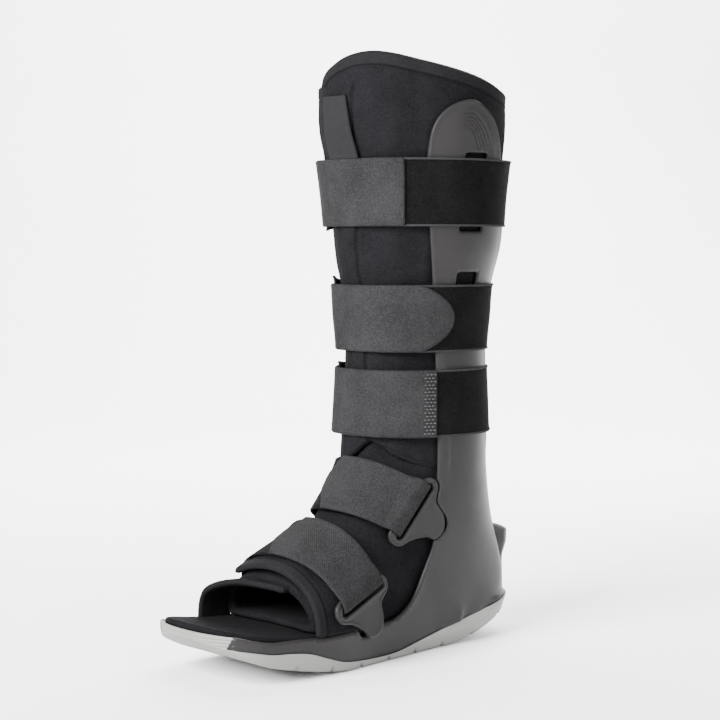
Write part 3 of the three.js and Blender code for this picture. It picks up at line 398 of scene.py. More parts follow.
def cloth_material(name, base, roughness, bump_size, fleck=1.25):
    """Brushed or looped fabric without a visible weave."""
    mat, tree, shader, places = new_material(name, roughness, 0.015)
    fine = noise(tree, places["Object"], 750.0, 4.0, 0.7)
    wide = noise(tree, places["Object"], 45.0, 4.0)
    tint_by(tree, shader, mixed(tree, (fine, 0.7), (wide, 0.3)), base, (0.36, 0.72), (0.64, fleck))
    shader.inputs["Sheen Weight"].default_value = 0.004
    shader.inputs["Sheen Roughness"].default_value = 0.4
    bump(tree, shader, fine, 0.7, bump_size)
    return mat


def woven_material(name, base, warp, weft, contrast, bump_size):
    """Webbing: warp ribs and weft picks by the strap's own lengths, in millimetres."""
    mat, tree, shader, places = new_material(name, 0.85, 0.03)
    split = add_node(tree, "ShaderNodeSeparateXYZ")
    tree.links.new(places["UV"], split.inputs[0])
    turns = [math_node(tree, "MULTIPLY", split.outputs[i], 2 * math.pi / size)
             for i, size in enumerate((warp, weft))]
    rib, pick = (math_node(tree, "SINE", turn, 0) for turn in turns)
    weave = math_node(tree, "MULTIPLY_ADD", math_node(tree, "MULTIPLY", rib, pick), 0.22)
    weave.node.inputs[2].default_value = 0.5
    fuzz = noise(tree, places["Object"], 700.0, 3.0, 0.7)
    wide = noise(tree, places["Object"], 40.0, 3.0)
    level = mixed(tree, (weave, 0.35), (fuzz, 0.45), (wide, 0.2))
    tint_by(tree, shader, level, base, (0.38, 1 - contrast), (0.62, 1 + contrast))
    bump(tree, shader, level, 0.8, bump_size)
    return mat


def rubber_material(name, base):
    mat, tree, shader, places = new_material(name, 0.6, 0.3)
    tint_by(tree, shader, noise(tree, places["Object"], 18.0, 5.0), base, (0.3, 0.93), (0.72, 1.06))
    bump(tree, shader, noise(tree, places["Object"], 1500.0, 2.0), 0.35, 0.00015)
    return mat


SHELL = plastic_material("shell_plastic", (0.0135, 0.0125, 0.013), 0.42, 0.35)
LOOP = plastic_material("loop_plastic", (0.0135, 0.0128, 0.0132), 0.4, 0.3)
RUBBER = rubber_material("sole_rubber", (0.17, 0.17, 0.164))
LINER = cloth_material("liner_fabric", (0.0056, 0.0056, 0.0063), 0.95, 0.0008, 1.7)
BINDING = cloth_material("binding_tape", (0.0085, 0.0085, 0.0092), 0.85, 0.0002)
PAD = cloth_material("footbed_fabric", (0.0058, 0.0058, 0.0064), 0.9, 0.0004)
STRAP = woven_material("strap_webbing", (0.0155, 0.0155, 0.0162), 1.9, 1.9, 0.5, 0.0006)
PILE = woven_material("pile_tape", (0.0036, 0.0036, 0.0038), 3.0, 2.2, 0.75, 0.001)
SELVEDGE = woven_material("selvedge", (0.02, 0.02, 0.021), 0.8, 0.5, 0.2, 0.0002)
CHECKER = woven_material("checker_thread", (0.06, 0.06, 0.06), 0.5, 0.5, 0.15, 0.0001)
TAB = woven_material("tab_fabric", (0.0115, 0.0115, 0.0122), 0.8, 0.8, 0.15, 0.0002)


# Mesh helpers
def make_piece(name, verts, faces, material, slot, uv=None, subdivide=0):
    mesh = bpy.data.meshes.new(name)
    places = (np.asarray(verts, float) * MM).tolist()
    mesh.from_pydata(places, [], [tuple(int(i) for i in f) for f in faces])
    mesh.validate()
    mesh.update()
    if uv is not None:
        layer = mesh.uv_layers.new(name="lengths")
        index = np.empty(len(mesh.loops), int)
        mesh.loops.foreach_get("vertex_index", index)
        layer.data.foreach_set("uv", np.asarray(uv, float)[index].ravel())
    mesh.polygons.foreach_set("use_smooth", [True] * len(mesh.polygons))
    mesh.materials.append(material)
    piece = bpy.data.objects.new(name, mesh)
    bpy.context.scene.collection.objects.link(piece)
    if subdivide:
        mod = piece.modifiers.new("smooth", "SUBSURF")
        mod.levels = mod.render_levels = subdivide
    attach(piece, "root")
    return piece


def grid_lengths(points):
    """Lengths along and across a grid of points, in millimetres."""
    rows, cols = points.shape[:2]
    along = np.linalg.norm(np.diff(points[:, cols // 2], axis=0), axis=-1)
    across = np.linalg.norm(np.diff(points[rows // 2], axis=0), axis=-1)
    u = np.concatenate([[0], np.cumsum(along)])
    v = np.concatenate([[0], np.cumsum(across)])
    return np.stack(np.broadcast_arrays(u[:, None], v[None, :]), -1).reshape(-1, 2)


def sheet_mesh(outer, inner, closed=False, round_share=0.45):
    """Closed solid between two grids, its open edges rounded. Returns vertices, faces, lengths."""
    rows, cols = outer.shape[:2]
    count = rows * cols
    flat_uv = grid_lengths(outer)
    verts = [outer.reshape(-1, 3), inner.reshape(-1, 3)]
    uv = [flat_uv, flat_uv]
    faces = []

    def at(i, j):
        return (i % rows) * cols + j

    for i in range(rows if closed else rows - 1):
        for j in range(cols - 1):
            a, b, c, d = at(i, j), at(i + 1, j), at(i + 1, j + 1), at(i, j + 1)
            faces += [(a, b, c, d), (count + a, count + d, count + c, count + b)]
    start, end = [(i, 0) for i in range(rows)], [(i, cols - 1) for i in range(rows)]
    if closed:
        edges = [start, end[::-1]]
    else:
        edges = [start + [(rows - 1, j) for j in range(1, cols)] + end[-2::-1]
                 + [(0, j) for j in range(cols - 2, 0, -1)]]
    offset = 2 * count
    for edge in edges:
        ring = [at(i, j) for i, j in edge]
        behind = [at(i if closed else min(max(i, 1), rows - 2), min(max(j, 1), cols - 2)) for i, j in edge]
        o, q = verts[0][ring], verts[1][ring]
        thick = np.linalg.norm(o - q, axis=-1, keepdims=True)
        out = unit((o + q) / 2 - (verts[0][behind] + verts[1][behind]) / 2)
        verts.append((o + q) / 2 + out * thick * round_share)
        uv.append(flat_uv[ring])
        n = len(ring)
        for k in range(n):
            m = (k + 1) % n
            faces.append((ring[m], ring[k], offset + k, offset + m))
            faces.append((offset + m, offset + k, count + ring[k], count + ring[m]))
        offset += n
    return np.vstack(verts), faces, np.vstack(uv)


def tube(path, radius, flat):
    """Vertices and faces of a flattened tube along a path."""
    n, sides = len(path), TUBE_SIDES
    tangent = unit(np.gradient(path, axis=0))
    side = unit(np.cross(tangent, np.array([0.0, 0.0, 1.0]) + 1e-4))
    lift = np.cross(side, tangent)
    a = np.arange(sides) * 2 * math.pi / sides
    verts = (path[:, None] + radius * (np.cos(a)[None, :, None] * side[:, None]
                                       + flat * np.sin(a)[None, :, None] * lift[:, None])).reshape(-1, 3)
    faces = []
    for i in range(n - 1):
        for k in range(sides):
            m = (k + 1) % sides
            faces.append((i * sides + k, (i + 1) * sides + k, (i + 1) * sides + m, i * sides + m))
    faces.append(tuple(range(sides)))
    faces.append(tuple(range((n - 1) * sides, n * sides))[::-1])
    return verts, faces


def merge(parts):
    verts, faces, offset = [], [], 0
    for v, f in parts:
        verts.append(v)
        faces += [tuple(i + offset for i in face) for face in f]
        offset += len(v)
    return np.vstack(verts), faces


def outwards(piece):
    """Turns every face of a closed piece outwards."""
    bm = bmesh.new()
    bm.from_mesh(piece.data)
    bmesh.ops.recalc_face_normals(bm, faces=bm.faces)
    bm.to_mesh(piece.data)
    bm.free()
    return piece


# Shell
ARC = 75.0


def shell_inside(p):
    z = p[..., 2]
    lean = 0.45 * smooth(BUMPER_END + 2, BUMPER_END + 26, p[..., 1])
    inset = TRAY_INSET + np.maximum(z - 27, 0) * lean
    across = np.abs(p[..., 0])
    tray = (across < plan_half_width(p[..., 1], inset, 0)) & (z < 38)
    past_toe = (p[..., 1] < TOE_Y + 2 * TOE_ROUND) & (across > plan_half_width(p[..., 1], TRAY_INSET, 0))
    return ((body_distance(p) < SHELL_WALL) & ~past_toe) | tray


def shell_point(s, z):
    """Point on the shell's face: s runs from the middle of the back round to +X and forwards."""
    s, z = np.broadcast_arrays(np.asarray(s, float), np.asarray(z, float))
    side = np.where(s < 0, -1.0, 1.0)
    run = np.abs(s)
    centre = shaft_section(z)[2]
    phi = np.radians(90 * (1 - np.clip(run / ARC, 0, 1)))
    y = centre - np.maximum(run - ARC, 0)
    start = np.stack([np.zeros_like(z), y, z], -1)
    direction = np.stack([side * np.cos(phi), np.sin(phi), np.zeros_like(z)], -1)
    return start + direction * reach(start, direction, 160, shell_inside)[..., None]


def shell_run(y, z):
    """The s at which the shell's face on +X has this y."""
    y, z = np.broadcast_arrays(np.asarray(y, float), np.asarray(z, float))
    centre = shaft_section(z)[2]
    low, high = np.zeros_like(y), np.full_like(y, ARC)
    for _ in range(RUN_STEPS):
        middle = (low + high) / 2
        behind = shell_point(middle, z)[..., 1] > y
        low, high = np.where(behind, middle, low), np.where(behind, high, middle)
    return np.where(y < centre, ARC + centre - y, low)


def rounded_box(y0, y1, z0, z1, radius, spacing):
    corners = []
    for cy, cz, a in ((y1 - radius, z1 - radius, 0), (y0 + radius, z1 - radius, 90),
                      (y0 + radius, z0 + radius, 180), (y1 - radius, z0 + radius, 270)):
        for k in range(5):
            t = math.radians(a + 90 * k / 4)
            corners.append((cy + radius * math.cos(t), cz + radius * math.sin(t)))
    return resample(np.array(corners), spacing, True)


FOOT_STRAPS = [
    dict(name="instep", along=0.588, up=100.3, slope=52.4, side=41.5, turn=-11, lean=0, layers=0,
         drift=5),
    dict(name="toe", along=0.387, up=47.9, slope=20.8, side=51.5, turn=6, lean=8, layers=1,
         drift=0),
]
LOOP_OUTLINE = np.array([
    (-1.04, 0.25), (-1.18, 0.0), (-1.07, -0.25), (-0.65, -0.48), (-0.46, -0.98), (-0.1, -1.23),
    (0.29, -1.12), (0.38, -0.86), (0.76, -0.44), (1.14, -0.2), (1.22, 0.1), (1.06, 0.34),
]) * LOOP_SLOT_LENGTH / 2


def loop_frame(strap):
    """Axes and place of a loop: along its slot, across it, outwards; then its middle."""
    slope, turn, lean = (math.radians(strap[k]) for k in ("slope", "turn", "lean"))
    axes = np.array([[0, -math.cos(slope), -math.sin(slope)],
                     [0, -math.sin(slope), math.cos(slope)], [-1, 0, 0]]).T
    about_z = np.array([[math.cos(turn), -math.sin(turn), 0],
                        [math.sin(turn), math.cos(turn), 0], [0, 0, 1]])
    about_y = np.array([[math.cos(-lean), 0, math.sin(-lean)], [0, 1, 0],
                        [-math.sin(-lean), 0, math.cos(-lean)]])
    return about_z @ about_y @ axes, np.array([strap["side"], along_y(strap["along"]), strap["up"]])


def loop_to_world(strap, points):
    axes, place = loop_frame(strap)
    return points @ axes.T + place


def grow_outline(line, distance):
    after, before = np.roll(line, -1, 0), np.roll(line, 1, 0)
    t = unit(after - before)
    return line + np.stack([t[:, 1], -t[:, 0]], -1) * distance


def inside_polygon(points, polygon):
    x, y = points[:, 0], points[:, 1]
    inside = np.zeros(len(points), bool)
    a = polygon
    b = np.roll(polygon, -1, 0)
    for (x0, y0), (x1, y1) in zip(a, b):
        if y0 != y1:
            cross = (y0 > y) != (y1 > y)
            inside ^= cross & (x < (x1 - x0) * (y - y0) / (y1 - y0) + x0)
    return inside


def distance_to(points, line):
    """Distance of points from a closed polyline, given densely."""
    best = np.full(len(points), 1e9)
    for k in range(0, len(line), 200):
        d = np.linalg.norm(points[:, None] - line[None, k:k + 200], axis=-1).min(1)
        best = np.minimum(best, d)
    return best


def shell_outline(spacing):
    rim = catmull([(along_y(a), u * TOE_PLATE_TOP) for a, u in TRAY_RIM], spacing)
    upright = catmull([(SHAFT_Y + b * CALF_HALF_DEPTH, u * UPRIGHT_TOP) for b, u in UPRIGHT_EDGE], spacing)
    edge = np.vstack([rim, upright])
    s = shell_run(edge[:, 0], edge[:, 1])
    half = np.stack([s, edge[:, 1]], -1)
    half = np.vstack([half, [(0, UPRIGHT_EDGE[-1][1] * UPRIGHT_TOP)]])
    front = float(shell_run(TRAY_FRONT, 28.0))
    runs = np.linspace(0, 1, int(front / spacing) + 1)
    ys = lerp(HEEL_Y - 2, TRAY_FRONT, runs)
    seam_z = profile_at(ys, SEAM) + 0.4
    seam = np.stack([shell_run(ys, seam_z), seam_z], -1)
    seam[0, 0] = 0
    half = resample(np.vstack([seam, half]), spacing)
    other = half[1:-1][::-1] * [-1, 1]
    return np.vstack([half, other])


def smooth_noise(p, size, seed):
    """Slow wander from a few fixed waves, for soft unevenness."""
    rng = np.random.default_rng(seed)
    total = np.zeros(p.shape[:-1])
    for _ in range(7):
        k = unit(rng.normal(size=3)) * 2 * math.pi / (size * rng.uniform(0.7, 1.6))
        total += np.sin(p @ k + rng.uniform(0, 6.28))
    return total / 3.7


# Strap windows of one side: rise, height, shift up and shift back
WINDOWS = ((STRAP_RISES[0], 55, 0, -2), (STRAP_RISES[1], 52, 6.5, 3))


def shell_holes():
    """Lines of the strap windows and of the loops' notches, in the shell's flat plan."""
    windows = []
    for rise, tall, shift_up, shift_back in WINDOWS:
        z = rise + shift_up
        y = float(shaft_section(z)[2]) + shift_back
        half = WINDOW_WIDTH / 2
        box = rounded_box(y - half, y + half, z - tall / 2, z + tall / 2, 2.5, EDGE_STEP)
        windows.append(np.stack([shell_run(box[:, 0], box[:, 1]), box[:, 1]], -1))
    windows += [w * [-1, 1] for w in windows]
    notches = []
    for strap in FOOT_STRAPS:
        line = grow_outline(catmull(LOOP_OUTLINE, EDGE_STEP, True), LOOP_NOTCH_GAP + 0.5)
        world = loop_to_world(strap, np.column_stack([line, np.zeros(len(line))]))
        notches.append(np.stack([shell_run(world[:, 1], world[:, 2]), world[:, 2]], -1))
    return windows + notches


def in_shell_plan(points, outline, holes):
    keep = inside_polygon(points, outline)
    for hole in holes:
        keep &= ~inside_polygon(points, hole)
    return keep


def plan_grid(across, up):
    return np.stack(np.meshgrid(across, up), -1).reshape(-1, 2)


def shell_cells(outline, holes):
    """Triangles over the shell's flat plan, finer under the finger arcs, all turned one way."""
    s_max = outline[:, 0].max()
    grid = [plan_grid(np.arange(-s_max, s_max, GRID_STEP), np.arange(5, FINE_FROM, GRID_STEP))]
    fine = plan_grid(np.arange(22, 118, FINE_STEP), np.arange(FINE_FROM, 383, FINE_STEP))
    grid = np.vstack(grid + [fine * [side, 1] for side in (-1, 1)])
    grid = grid + np.random.default_rng(4).uniform(-0.12, 0.12, grid.shape)
    loops = [outline] + holes
    grid = grid[in_shell_plan(grid, outline, holes) & (distance_to(grid, np.vstack(loops)) > 1.0)]
    points, edges = [], []
    for line in loops:
        first = len(points)
        points += [tuple(p) for p in line]
        edges += [(first + k, first + (k + 1) % len(line)) for k in range(len(line))]
    points += [tuple(p) for p in grid]
    verts, _, tris, _, _, _ = geometry.delaunay_2d_cdt([Vector(p) for p in points], edges, [], 0, 1e-4)
    flat = np.array([tuple(v) for v in verts])
    tris = np.array([t for t in tris if len(t) == 3])
    tris = tris[in_shell_plan(flat[tris].mean(1), outline, holes)]
    a, b, c = flat[tris[:, 0]], flat[tris[:, 1]], flat[tris[:, 2]]
    area = (b[:, 0] - a[:, 0]) * (c[:, 1] - a[:, 1]) - (b[:, 1] - a[:, 1]) * (c[:, 0] - a[:, 0])
    tris = np.where((area > 0)[:, None], tris, tris[:, ::-1])
    tris = tris[np.abs(area) > 1e-6]
    used = np.unique(tris)
    index = np.full(len(flat), -1)
    index[used] = np.arange(len(used))
    return flat[used], index[tris]


def ease_heel(face, flat, tris, to_edge):
    """Evens out the crease where the foot runs into the shaft, away from the shell's edges."""
    eased = (smooth(44, 56, face[:, 1]) * (1 - smooth(104, 118, face[:, 1])) * smooth(5, 16, to_edge)
             * (1 - smooth(150, 176, flat[:, 1])))[:, None]
    sides = np.sort(np.vstack([tris[:, [0, 1]], tris[:, [1, 2]], tris[:, [2, 0]]]), axis=1)
    pairs = np.unique(sides, axis=0)
    ends = np.concatenate([pairs[:, 0], pairs[:, 1]])
    others = np.concatenate([pairs[:, 1], pairs[:, 0]])
    near_count = np.bincount(ends, minlength=len(face))[:, None]
    for _ in range(EASE_STEPS):
        total = np.stack([np.bincount(ends, face[others, c], len(face)) for c in range(3)], -1)
        face = face + eased * 0.5 * (total / near_count - face)
    return face


def outward_normals(face, flat, tris):
    """Normals of the shell's points, and the sign that turns its triangles outwards."""
    normal = np.zeros_like(face)
    cross = np.cross(face[tris[:, 1]] - face[tris[:, 0]], face[tris[:, 2]] - face[tris[:, 0]])
    for i in range(3):
        np.add.at(normal, tris[:, i], cross)
    normal = unit(normal)
    axis = np.stack([np.zeros(len(face)), shaft_section(flat[:, 1])[2], flat[:, 1]], -1)
    out_sign = np.sign(np.sum(normal * (face - axis), -1).mean())
    return normal * out_sign, out_sign


def shell_relief(face, flat, to_edge):
    """Height of the band along the uprights, the rim's bead, the finger arcs and a slight wave."""
    z, y = flat[:, 1], face[:, 1]
    low_band = smooth(112, 135, z) * (1 - smooth(214, 246, z)) * (y < SHAFT_Y + 5)
    band = low_band * (1 - smooth(7.6, 8.9, to_edge))
    bead = (1 - low_band) * smooth(26, 31, z) * 0.7 * groove(to_edge, 2.0)
    arcs = -0.8 * sum(groove(to_edge - (8.2 + 2.5 * k), 0.62) for k in range(5))
    on_top = smooth(342, 352, z) * smooth(-1, 7, y - (SHAFT_Y - 17))
    return band + bead + arcs * on_top + 0.12 * smooth_noise(face, 60, 3) * (z > 40)


def build_shell():
    """Shell raised from its flat plan to the body, thickened inwards, its open edges rounded."""
    outline = shell_outline(EDGE_STEP)
    flat, tris = shell_cells(outline, shell_holes())
    to_edge = distance_to(flat, resample(outline, EDGE_STEP / 2, True))
    face = ease_heel(shell_point(flat[:, 0], flat[:, 1]), flat, tris, to_edge)
    normal, out_sign = outward_normals(face, flat, tris)
    face = face + normal * shell_relief(face, flat, to_edge)[:, None]
    back = face - normal * (SHELL_WALL - 0.2)
    n = len(face)
    sides = dict.fromkeys((int(t[i]), int(t[(i + 1) % 3])) for t in tris for i in range(3))
    rim = [(u, v) for u, v in sides if (v, u) not in sides]
    rim_verts = sorted({v for e in rim for v in e})
    push = np.zeros_like(face)
    for u, v in rim:
        o = np.cross(face[v] - face[u], normal[u] + normal[v]) * out_sign
        push[u] += o
        push[v] += o
    push = unit(push)
    middle = (face[rim_verts] + back[rim_verts]) / 2 + push[rim_verts] * 0.9
    slot_of = {v: 2 * n + i for i, v in enumerate(rim_verts)}
    faces = [tuple(t) for t in tris] + [tuple(n + i for i in t[::-1]) for t in tris]
    for u, v in rim:
        mu, mv = slot_of[u], slot_of[v]
        faces += [(v, u, mu, mv), (mv, mu, n + u, n + v)]
    verts = np.vstack([face, back, middle])
    piece = outwards(make_piece("shell_moulding", verts, faces, SHELL, "shell"))
    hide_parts("shell")


# Outsole and footbed
def cap(first, n):
    """Faces across a ring that is alike on both sides of its first point."""
    faces = [(first, first + 1, first + n - 1)]
    k = 1
    while k + 1 < n - k - 1:
        faces.append((first + k, first + k + 1, first + n - k - 1, first + n - k))
        k += 1
    if k + 1 == n - k - 1:
        faces.append((first + k, first + k + 1, first + n - k))
    return faces


def ring_solid(rings):
    """Closed solid through rings of equal length, capped at both ends."""
    n = len(rings[0])
    faces = []
    for i in range(len(rings) - 1):
        for k in range(n):
            m = (k + 1) % n
            faces.append((i * n + k, i * n + m, (i + 1) * n + m, (i + 1) * n + k))
    return np.vstack(rings), faces + cap(0, n) + cap((len(rings) - 1) * n, n)


def plan_line(inset, toe_inset, spacing):
    """The sole's plan as an even closed line, the middle line it shrinks to, and their distance."""
    rear, front = HEEL_Y - inset, TOE_Y + toe_inset
    turn = np.arange(700) * 2 * math.pi / 700
    y = (rear + front) / 2 + (rear - front) / 2 * np.cos(turn)
    x = -np.sign(np.sin(turn)) * plan_half_width(y, inset, toe_inset)
    line = resample(np.stack([x, y], -1), spacing, True)
    spine = np.stack([np.zeros(len(line)), np.clip(line[:, 1], front + 40, rear - 38)], -1)
    return line, spine, np.linalg.norm(line - spine, axis=1)


def groove_depth(x, y):
    """Depth of the tread's cross grooves at a place."""
    depth = np.zeros(len(x))
    for k in range(9):
        bow = TOE_Y + 47 + 29.5 * k + 0.0035 * x ** 2
        depth = np.maximum(depth, 1 - smooth(1.1, 2.0, np.abs(y - bow)))
    return 2.6 * depth


def build_outsole():
    """Rings from the tread's middle over the rounded edge, up the side and in under the shell."""
    line, spine, half = plan_line(0, 0, 1.3)
    tread, seam = profile_at(line[:, 1], TREAD), profile_at(line[:, 1], SEAM)
    ahead = 1 - smooth(BUMPER_END - 0.6, BUMPER_END + 0.6, line[:, 1])
    upturn = BUMPER_LIP_UPTURN * smooth(BUMPER_END, TOE_Y, line[:, 1])
    lip_top = TOE_PLATE_TOP - BUMPER_LIP_DROP + upturn
    top = lerp(seam, lip_top, ahead) - 0.2
    rings = []

    def inwards(inset):
        return lerp(line, spine, np.minimum(inset / half, 0.97)[:, None])

    def tread_z(inset):
        q = inwards(inset)
        return profile_at(q[:, 1], TREAD) + groove_depth(q[:, 0], q[:, 1])

    def ring(inset, z):
        rings.append(np.column_stack([inwards(inset), z]))

    for inset in (40, 30, 22, 15, 10, 7.5):
        ring(inset, tread_z(inset))
    draw = (5.5 - 2.75 * ahead) * np.clip((seam - tread) / 14, 0.25, 1)
    ring(draw + 0.8, tread_z(draw + 0.8) + 0.3)
    base = tread_z(draw)
    ring(draw * 0.92, np.minimum(base + 1.0, top - 1.0))
    low = np.minimum(base + 2.2, top - 0.5)
    for k in range(35):
        z = lerp(low, top, k / 34)
        height = TOE_PLATE_TOP - z
        ribbed = (height > 3) & (height < 11.8)
        rib = 0.55 * np.sin(math.pi * (height - 3) / 2.2) ** 2 * ribbed * ahead
        ring(draw * 0.85 * (1 - smooth(0, 13, z - tread)) + rib, z)
    ring(0.5, top + 0.3)
    ring(1.6, top - 0.1 + 0.4 * ahead)
    ring(5.2, top - 0.6 - 0.9 * ahead)
    for inset in (12, 25, 42):
        ring(inset, lerp(seam - 2.0, profile_at(inwards(inset)[:, 1], FLOOR) - 0.6, ahead))
    verts, faces = ring_solid(rings)
    piece = outwards(make_piece("rocker_outsole", verts, faces, RUBBER, "outsole"))
    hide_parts("outsole")


HEEL_STRIP_LEVELS = np.array([(0.0, 0.0), (0.13, 0.0), (0.4, 0.0), (0.61, 0.25), (0.81, 0.85), (1.0, 1.0)])


def back_of_shell(x, z):
    width, depth, centre = shaft_section(np.maximum(z, TOE_PLATE_TOP * 0.8))
    share = np.minimum(np.abs(x) / (width + SHELL_WALL), 1)
    return centre + (depth + SHELL_WALL) * np.sqrt(1 - share * share)


def build_heel_strip():
    bottom = float(profile_at(HEEL_Y, TREAD))
    up = np.linspace(0.02, 1, 40)
    across = np.linspace(-1, 1, 31)
    u, a = np.meshgrid(up, across, indexing="ij")
    lift = table_at(HEEL_STRIP_LEVELS, u)
    z = lerp(bottom, HEEL_STRIP_TOP, u) + 2.0 * u ** 4 * (1 - a * a)
    x = a * (HEEL_STRIP_WIDTH / 2) * (1 - 0.12 * smooth(0.55, 1, u) * np.abs(a) ** 3)
    back = back_of_shell(x, z)
    bulge = HEEL_Y + LIP_REACH - x * x / (3 * HEEL_ROUND)
    outer = lerp(back + HEEL_STRIP_PROUD, bulge, lift)
    inner = lerp(back - HEEL_STRIP_PROUD + 1.4, bulge - LIP_WALL, lift)
    verts, faces, uv = sheet_mesh(np.stack([x, outer, z], -1), np.stack([x, inner, z], -1))
    piece = outwards(make_piece("heel_pull_strip", verts, faces, RUBBER, "outsole", uv, 1))
    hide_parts("outsole")


# Rings of the footbed: inset, and height as a share of its thickness
FOOTBED_RINGS = [
    (45, 0.0), (25, 0.0), (8, 0.0), (1.2, 0.02), (0.0, 0.25), (-0.2, 0.5), (0.0, 0.75), (0.9, 0.97),
    (2.2, 1.0), (6, 0.93), (14, 0.96), (24, 0.97), (34, 0.97), (45, 0.97),
]


def build_footbed():
    line, spine, half = plan_line(TRAY_INSET + SHELL_WALL + SEAT_GAP, FOOTBED_TOE_INSET, 2.0)
    over_lip = FOOTBED_OVER_LIP * (1 - smooth(BUMPER_END - 2, BUMPER_END + 6, line[:, 1]))
    rings = []
    for inset, share in FOOTBED_RINGS:
        q = lerp(line, spine, np.minimum((inset - over_lip) / half, 0.97)[:, None])
        floor = np.minimum(profile_at(q[:, 1], FLOOR), FOOTBED_TOE_FLOOR)
        z = floor + SEAT_GAP + FOOTBED_THICKNESS * share
        worn = 0.25 * (share > 0.9) * smooth_noise(np.column_stack([q, z]), 40, 8)
        rings.append(np.column_stack([q, z + worn]))
    verts, faces = ring_solid(rings)
    piece = outwards(make_piece("padded_footbed", verts, faces, PAD, "footbed"))
    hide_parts("footbed")


# Liner
WRAP_START, WRAP_END = -112.0, 310.0
STEP_FROM, STEP_TO = 224.0, 243.0
FACING_SEAM = np.array([(110, -74), (149, -76), (200, -82), (300, -84), (FACING_TOP, -78.5)])


def pad_swell(degrees, z):
    turn = np.mod(degrees, 360)
    shin = smooth(214, 234, turn) * (1 - smooth(306, 324, turn))
    opened = smooth(HEEL_CUP_TOP, HEEL_CUP_TOP + 30, z)
    calf = smooth(60, 78, turn) * (1 - smooth(102, 120, turn)) * opened
    return (SHELL_WALL - SEAT_GAP) * np.maximum(shin, calf)


def lower_edge(degrees):
    degrees = np.asarray(degrees, float)
    return table_at(LOWER_EDGE, np.where(degrees > 200, degrees - 360, degrees)) * SHAFT_TOP


def bind(piece, mask):
    """Gives the bound edges of a padded sheet their tape, by the cells of its grid."""
    piece.data.materials.append(BINDING)
    index = np.ones(len(piece.data.polygons), int)
    index[:2 * mask.size] = np.repeat(mask.ravel(), 2)
    piece.data.polygons.foreach_set("material_index", index)


def line_distance(t, z, ends):
    """Distance in millimetres from a seam drawn over the ankle between (turn, z) points."""
    best = np.full(t.shape, 1e9)
    p = np.stack([np.radians(t) * 50, z], -1)
    for (t0, z0), (t1, z1) in zip(ends, ends[1:]):
        a, b = np.array([math.radians(t0) * 50, z0]), np.array([math.radians(t1) * 50, z1])
        share = np.clip((p - a) @ (b - a) / np.dot(b - a, b - a), 0, 1)
        best = np.minimum(best, np.linalg.norm(p - a - share[..., None] * (b - a), axis=-1))
    return best


def build_shaft_liner():
    """One padded sheet wound round the leg, bound along its edges and pressed in by the straps."""
    turns = np.concatenate([np.linspace(WRAP_START, -60, 90, endpoint=False),
                            np.linspace(-60, 30, 80, endpoint=False), np.linspace(30, WRAP_END, 110)])
    shares = np.concatenate([np.linspace(0, 0.035, 14, endpoint=False),
                             np.linspace(0.035, 0.962, 100, endpoint=False), np.linspace(0.962, 1, 20)])
    t, h = np.meshgrid(turns, shares, indexing="ij")
    low, high = lower_edge(t), table_at(TOP_EDGE, t) * SHAFT_TOP
    z = lerp(low, high, h)
    tuck = smooth(STEP_FROM, STEP_TO, t) * (LINER_WALL + SEAT_GAP)
    grow = pad_swell(t, z) - LINER_GAP - tuck
    base = shaft_point(t, z, grow)
    edge = np.minimum(high - z, np.radians(t - WRAP_START) * 60)
    tape = 0.8 * (1 - smooth(6.4, 7.2, edge)) - 0.9 * groove(edge - 7.6, 0.8)
    seam_turn = table_at(FACING_SEAM, z)
    in_facing = (z < FACING_TOP) & (t > -99) & (t < seam_turn)
    facing = 0.9 * in_facing * smooth(0, 1.2, t + 99) * smooth(0, 1.2, seam_turn - t)
    seam = -1.3 * groove(np.radians(t - seam_turn - 0.8) * 55, 0.9) * (z < FACING_TOP)
    vee = -1.2 * groove(line_distance(t, z, [(-82, 134), (-74, 149), (-30, 132)]), 0.9)
    pressed = np.zeros_like(z)
    for rise in STRAP_RISES:
        pressed = np.maximum(pressed, 1 - smooth(20, 34, np.abs(z - rise)))
    soft = 1.2 * smooth(7.5, 30, edge) + 0.75 * smooth_noise(base * [1, 1, 1.6], 46, 11)
    soft = soft + 0.3 * smooth_noise(base * [1, 1, 2.4], 20, 12)
    relief = tape + soft * (1 - pressed) * smooth(7, 16, edge) + facing + seam + vee
    below_top = 1 - smooth(FACING_TOP - 10, FACING_TOP, z)
    in_shell = smooth(-34, -24, t) * (1 - smooth(204, 214, t)) * below_top
    calf_open = smooth(66, 74, t) * (1 - smooth(106, 114, t)) * smooth(180, 205, z)
    relief = np.where(relief > 0, relief * (1 - in_shell * (1 - calf_open)), relief)
    relief = relief * (1 - smooth(STEP_FROM - 6, STEP_FROM + 8, t))
    outer = shaft_point(t, z, grow + relief)
    inner = shaft_point(t, z, grow - LINER_WALL)
    verts, faces, uv = sheet_mesh(outer, inner, round_share=0.4)
    piece = outwards(make_piece("shaft_wrap", verts, faces, LINER, "liner", uv))
    bind(piece, (edge < 7.0)[:-1, :-1])
    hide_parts("shaft_liner")


PIVOT = np.array([0.0, along_y(0.223), 1.18 * INSTEP_HEIGHT])


def liner_inside(depth):
    def inside(p):
        below = liner_bottom(p[..., 1]) + depth - p[..., 2]
        return np.maximum(body_distance(p) + FOOT_LINER_GAP + depth, below) < 0
    return inside


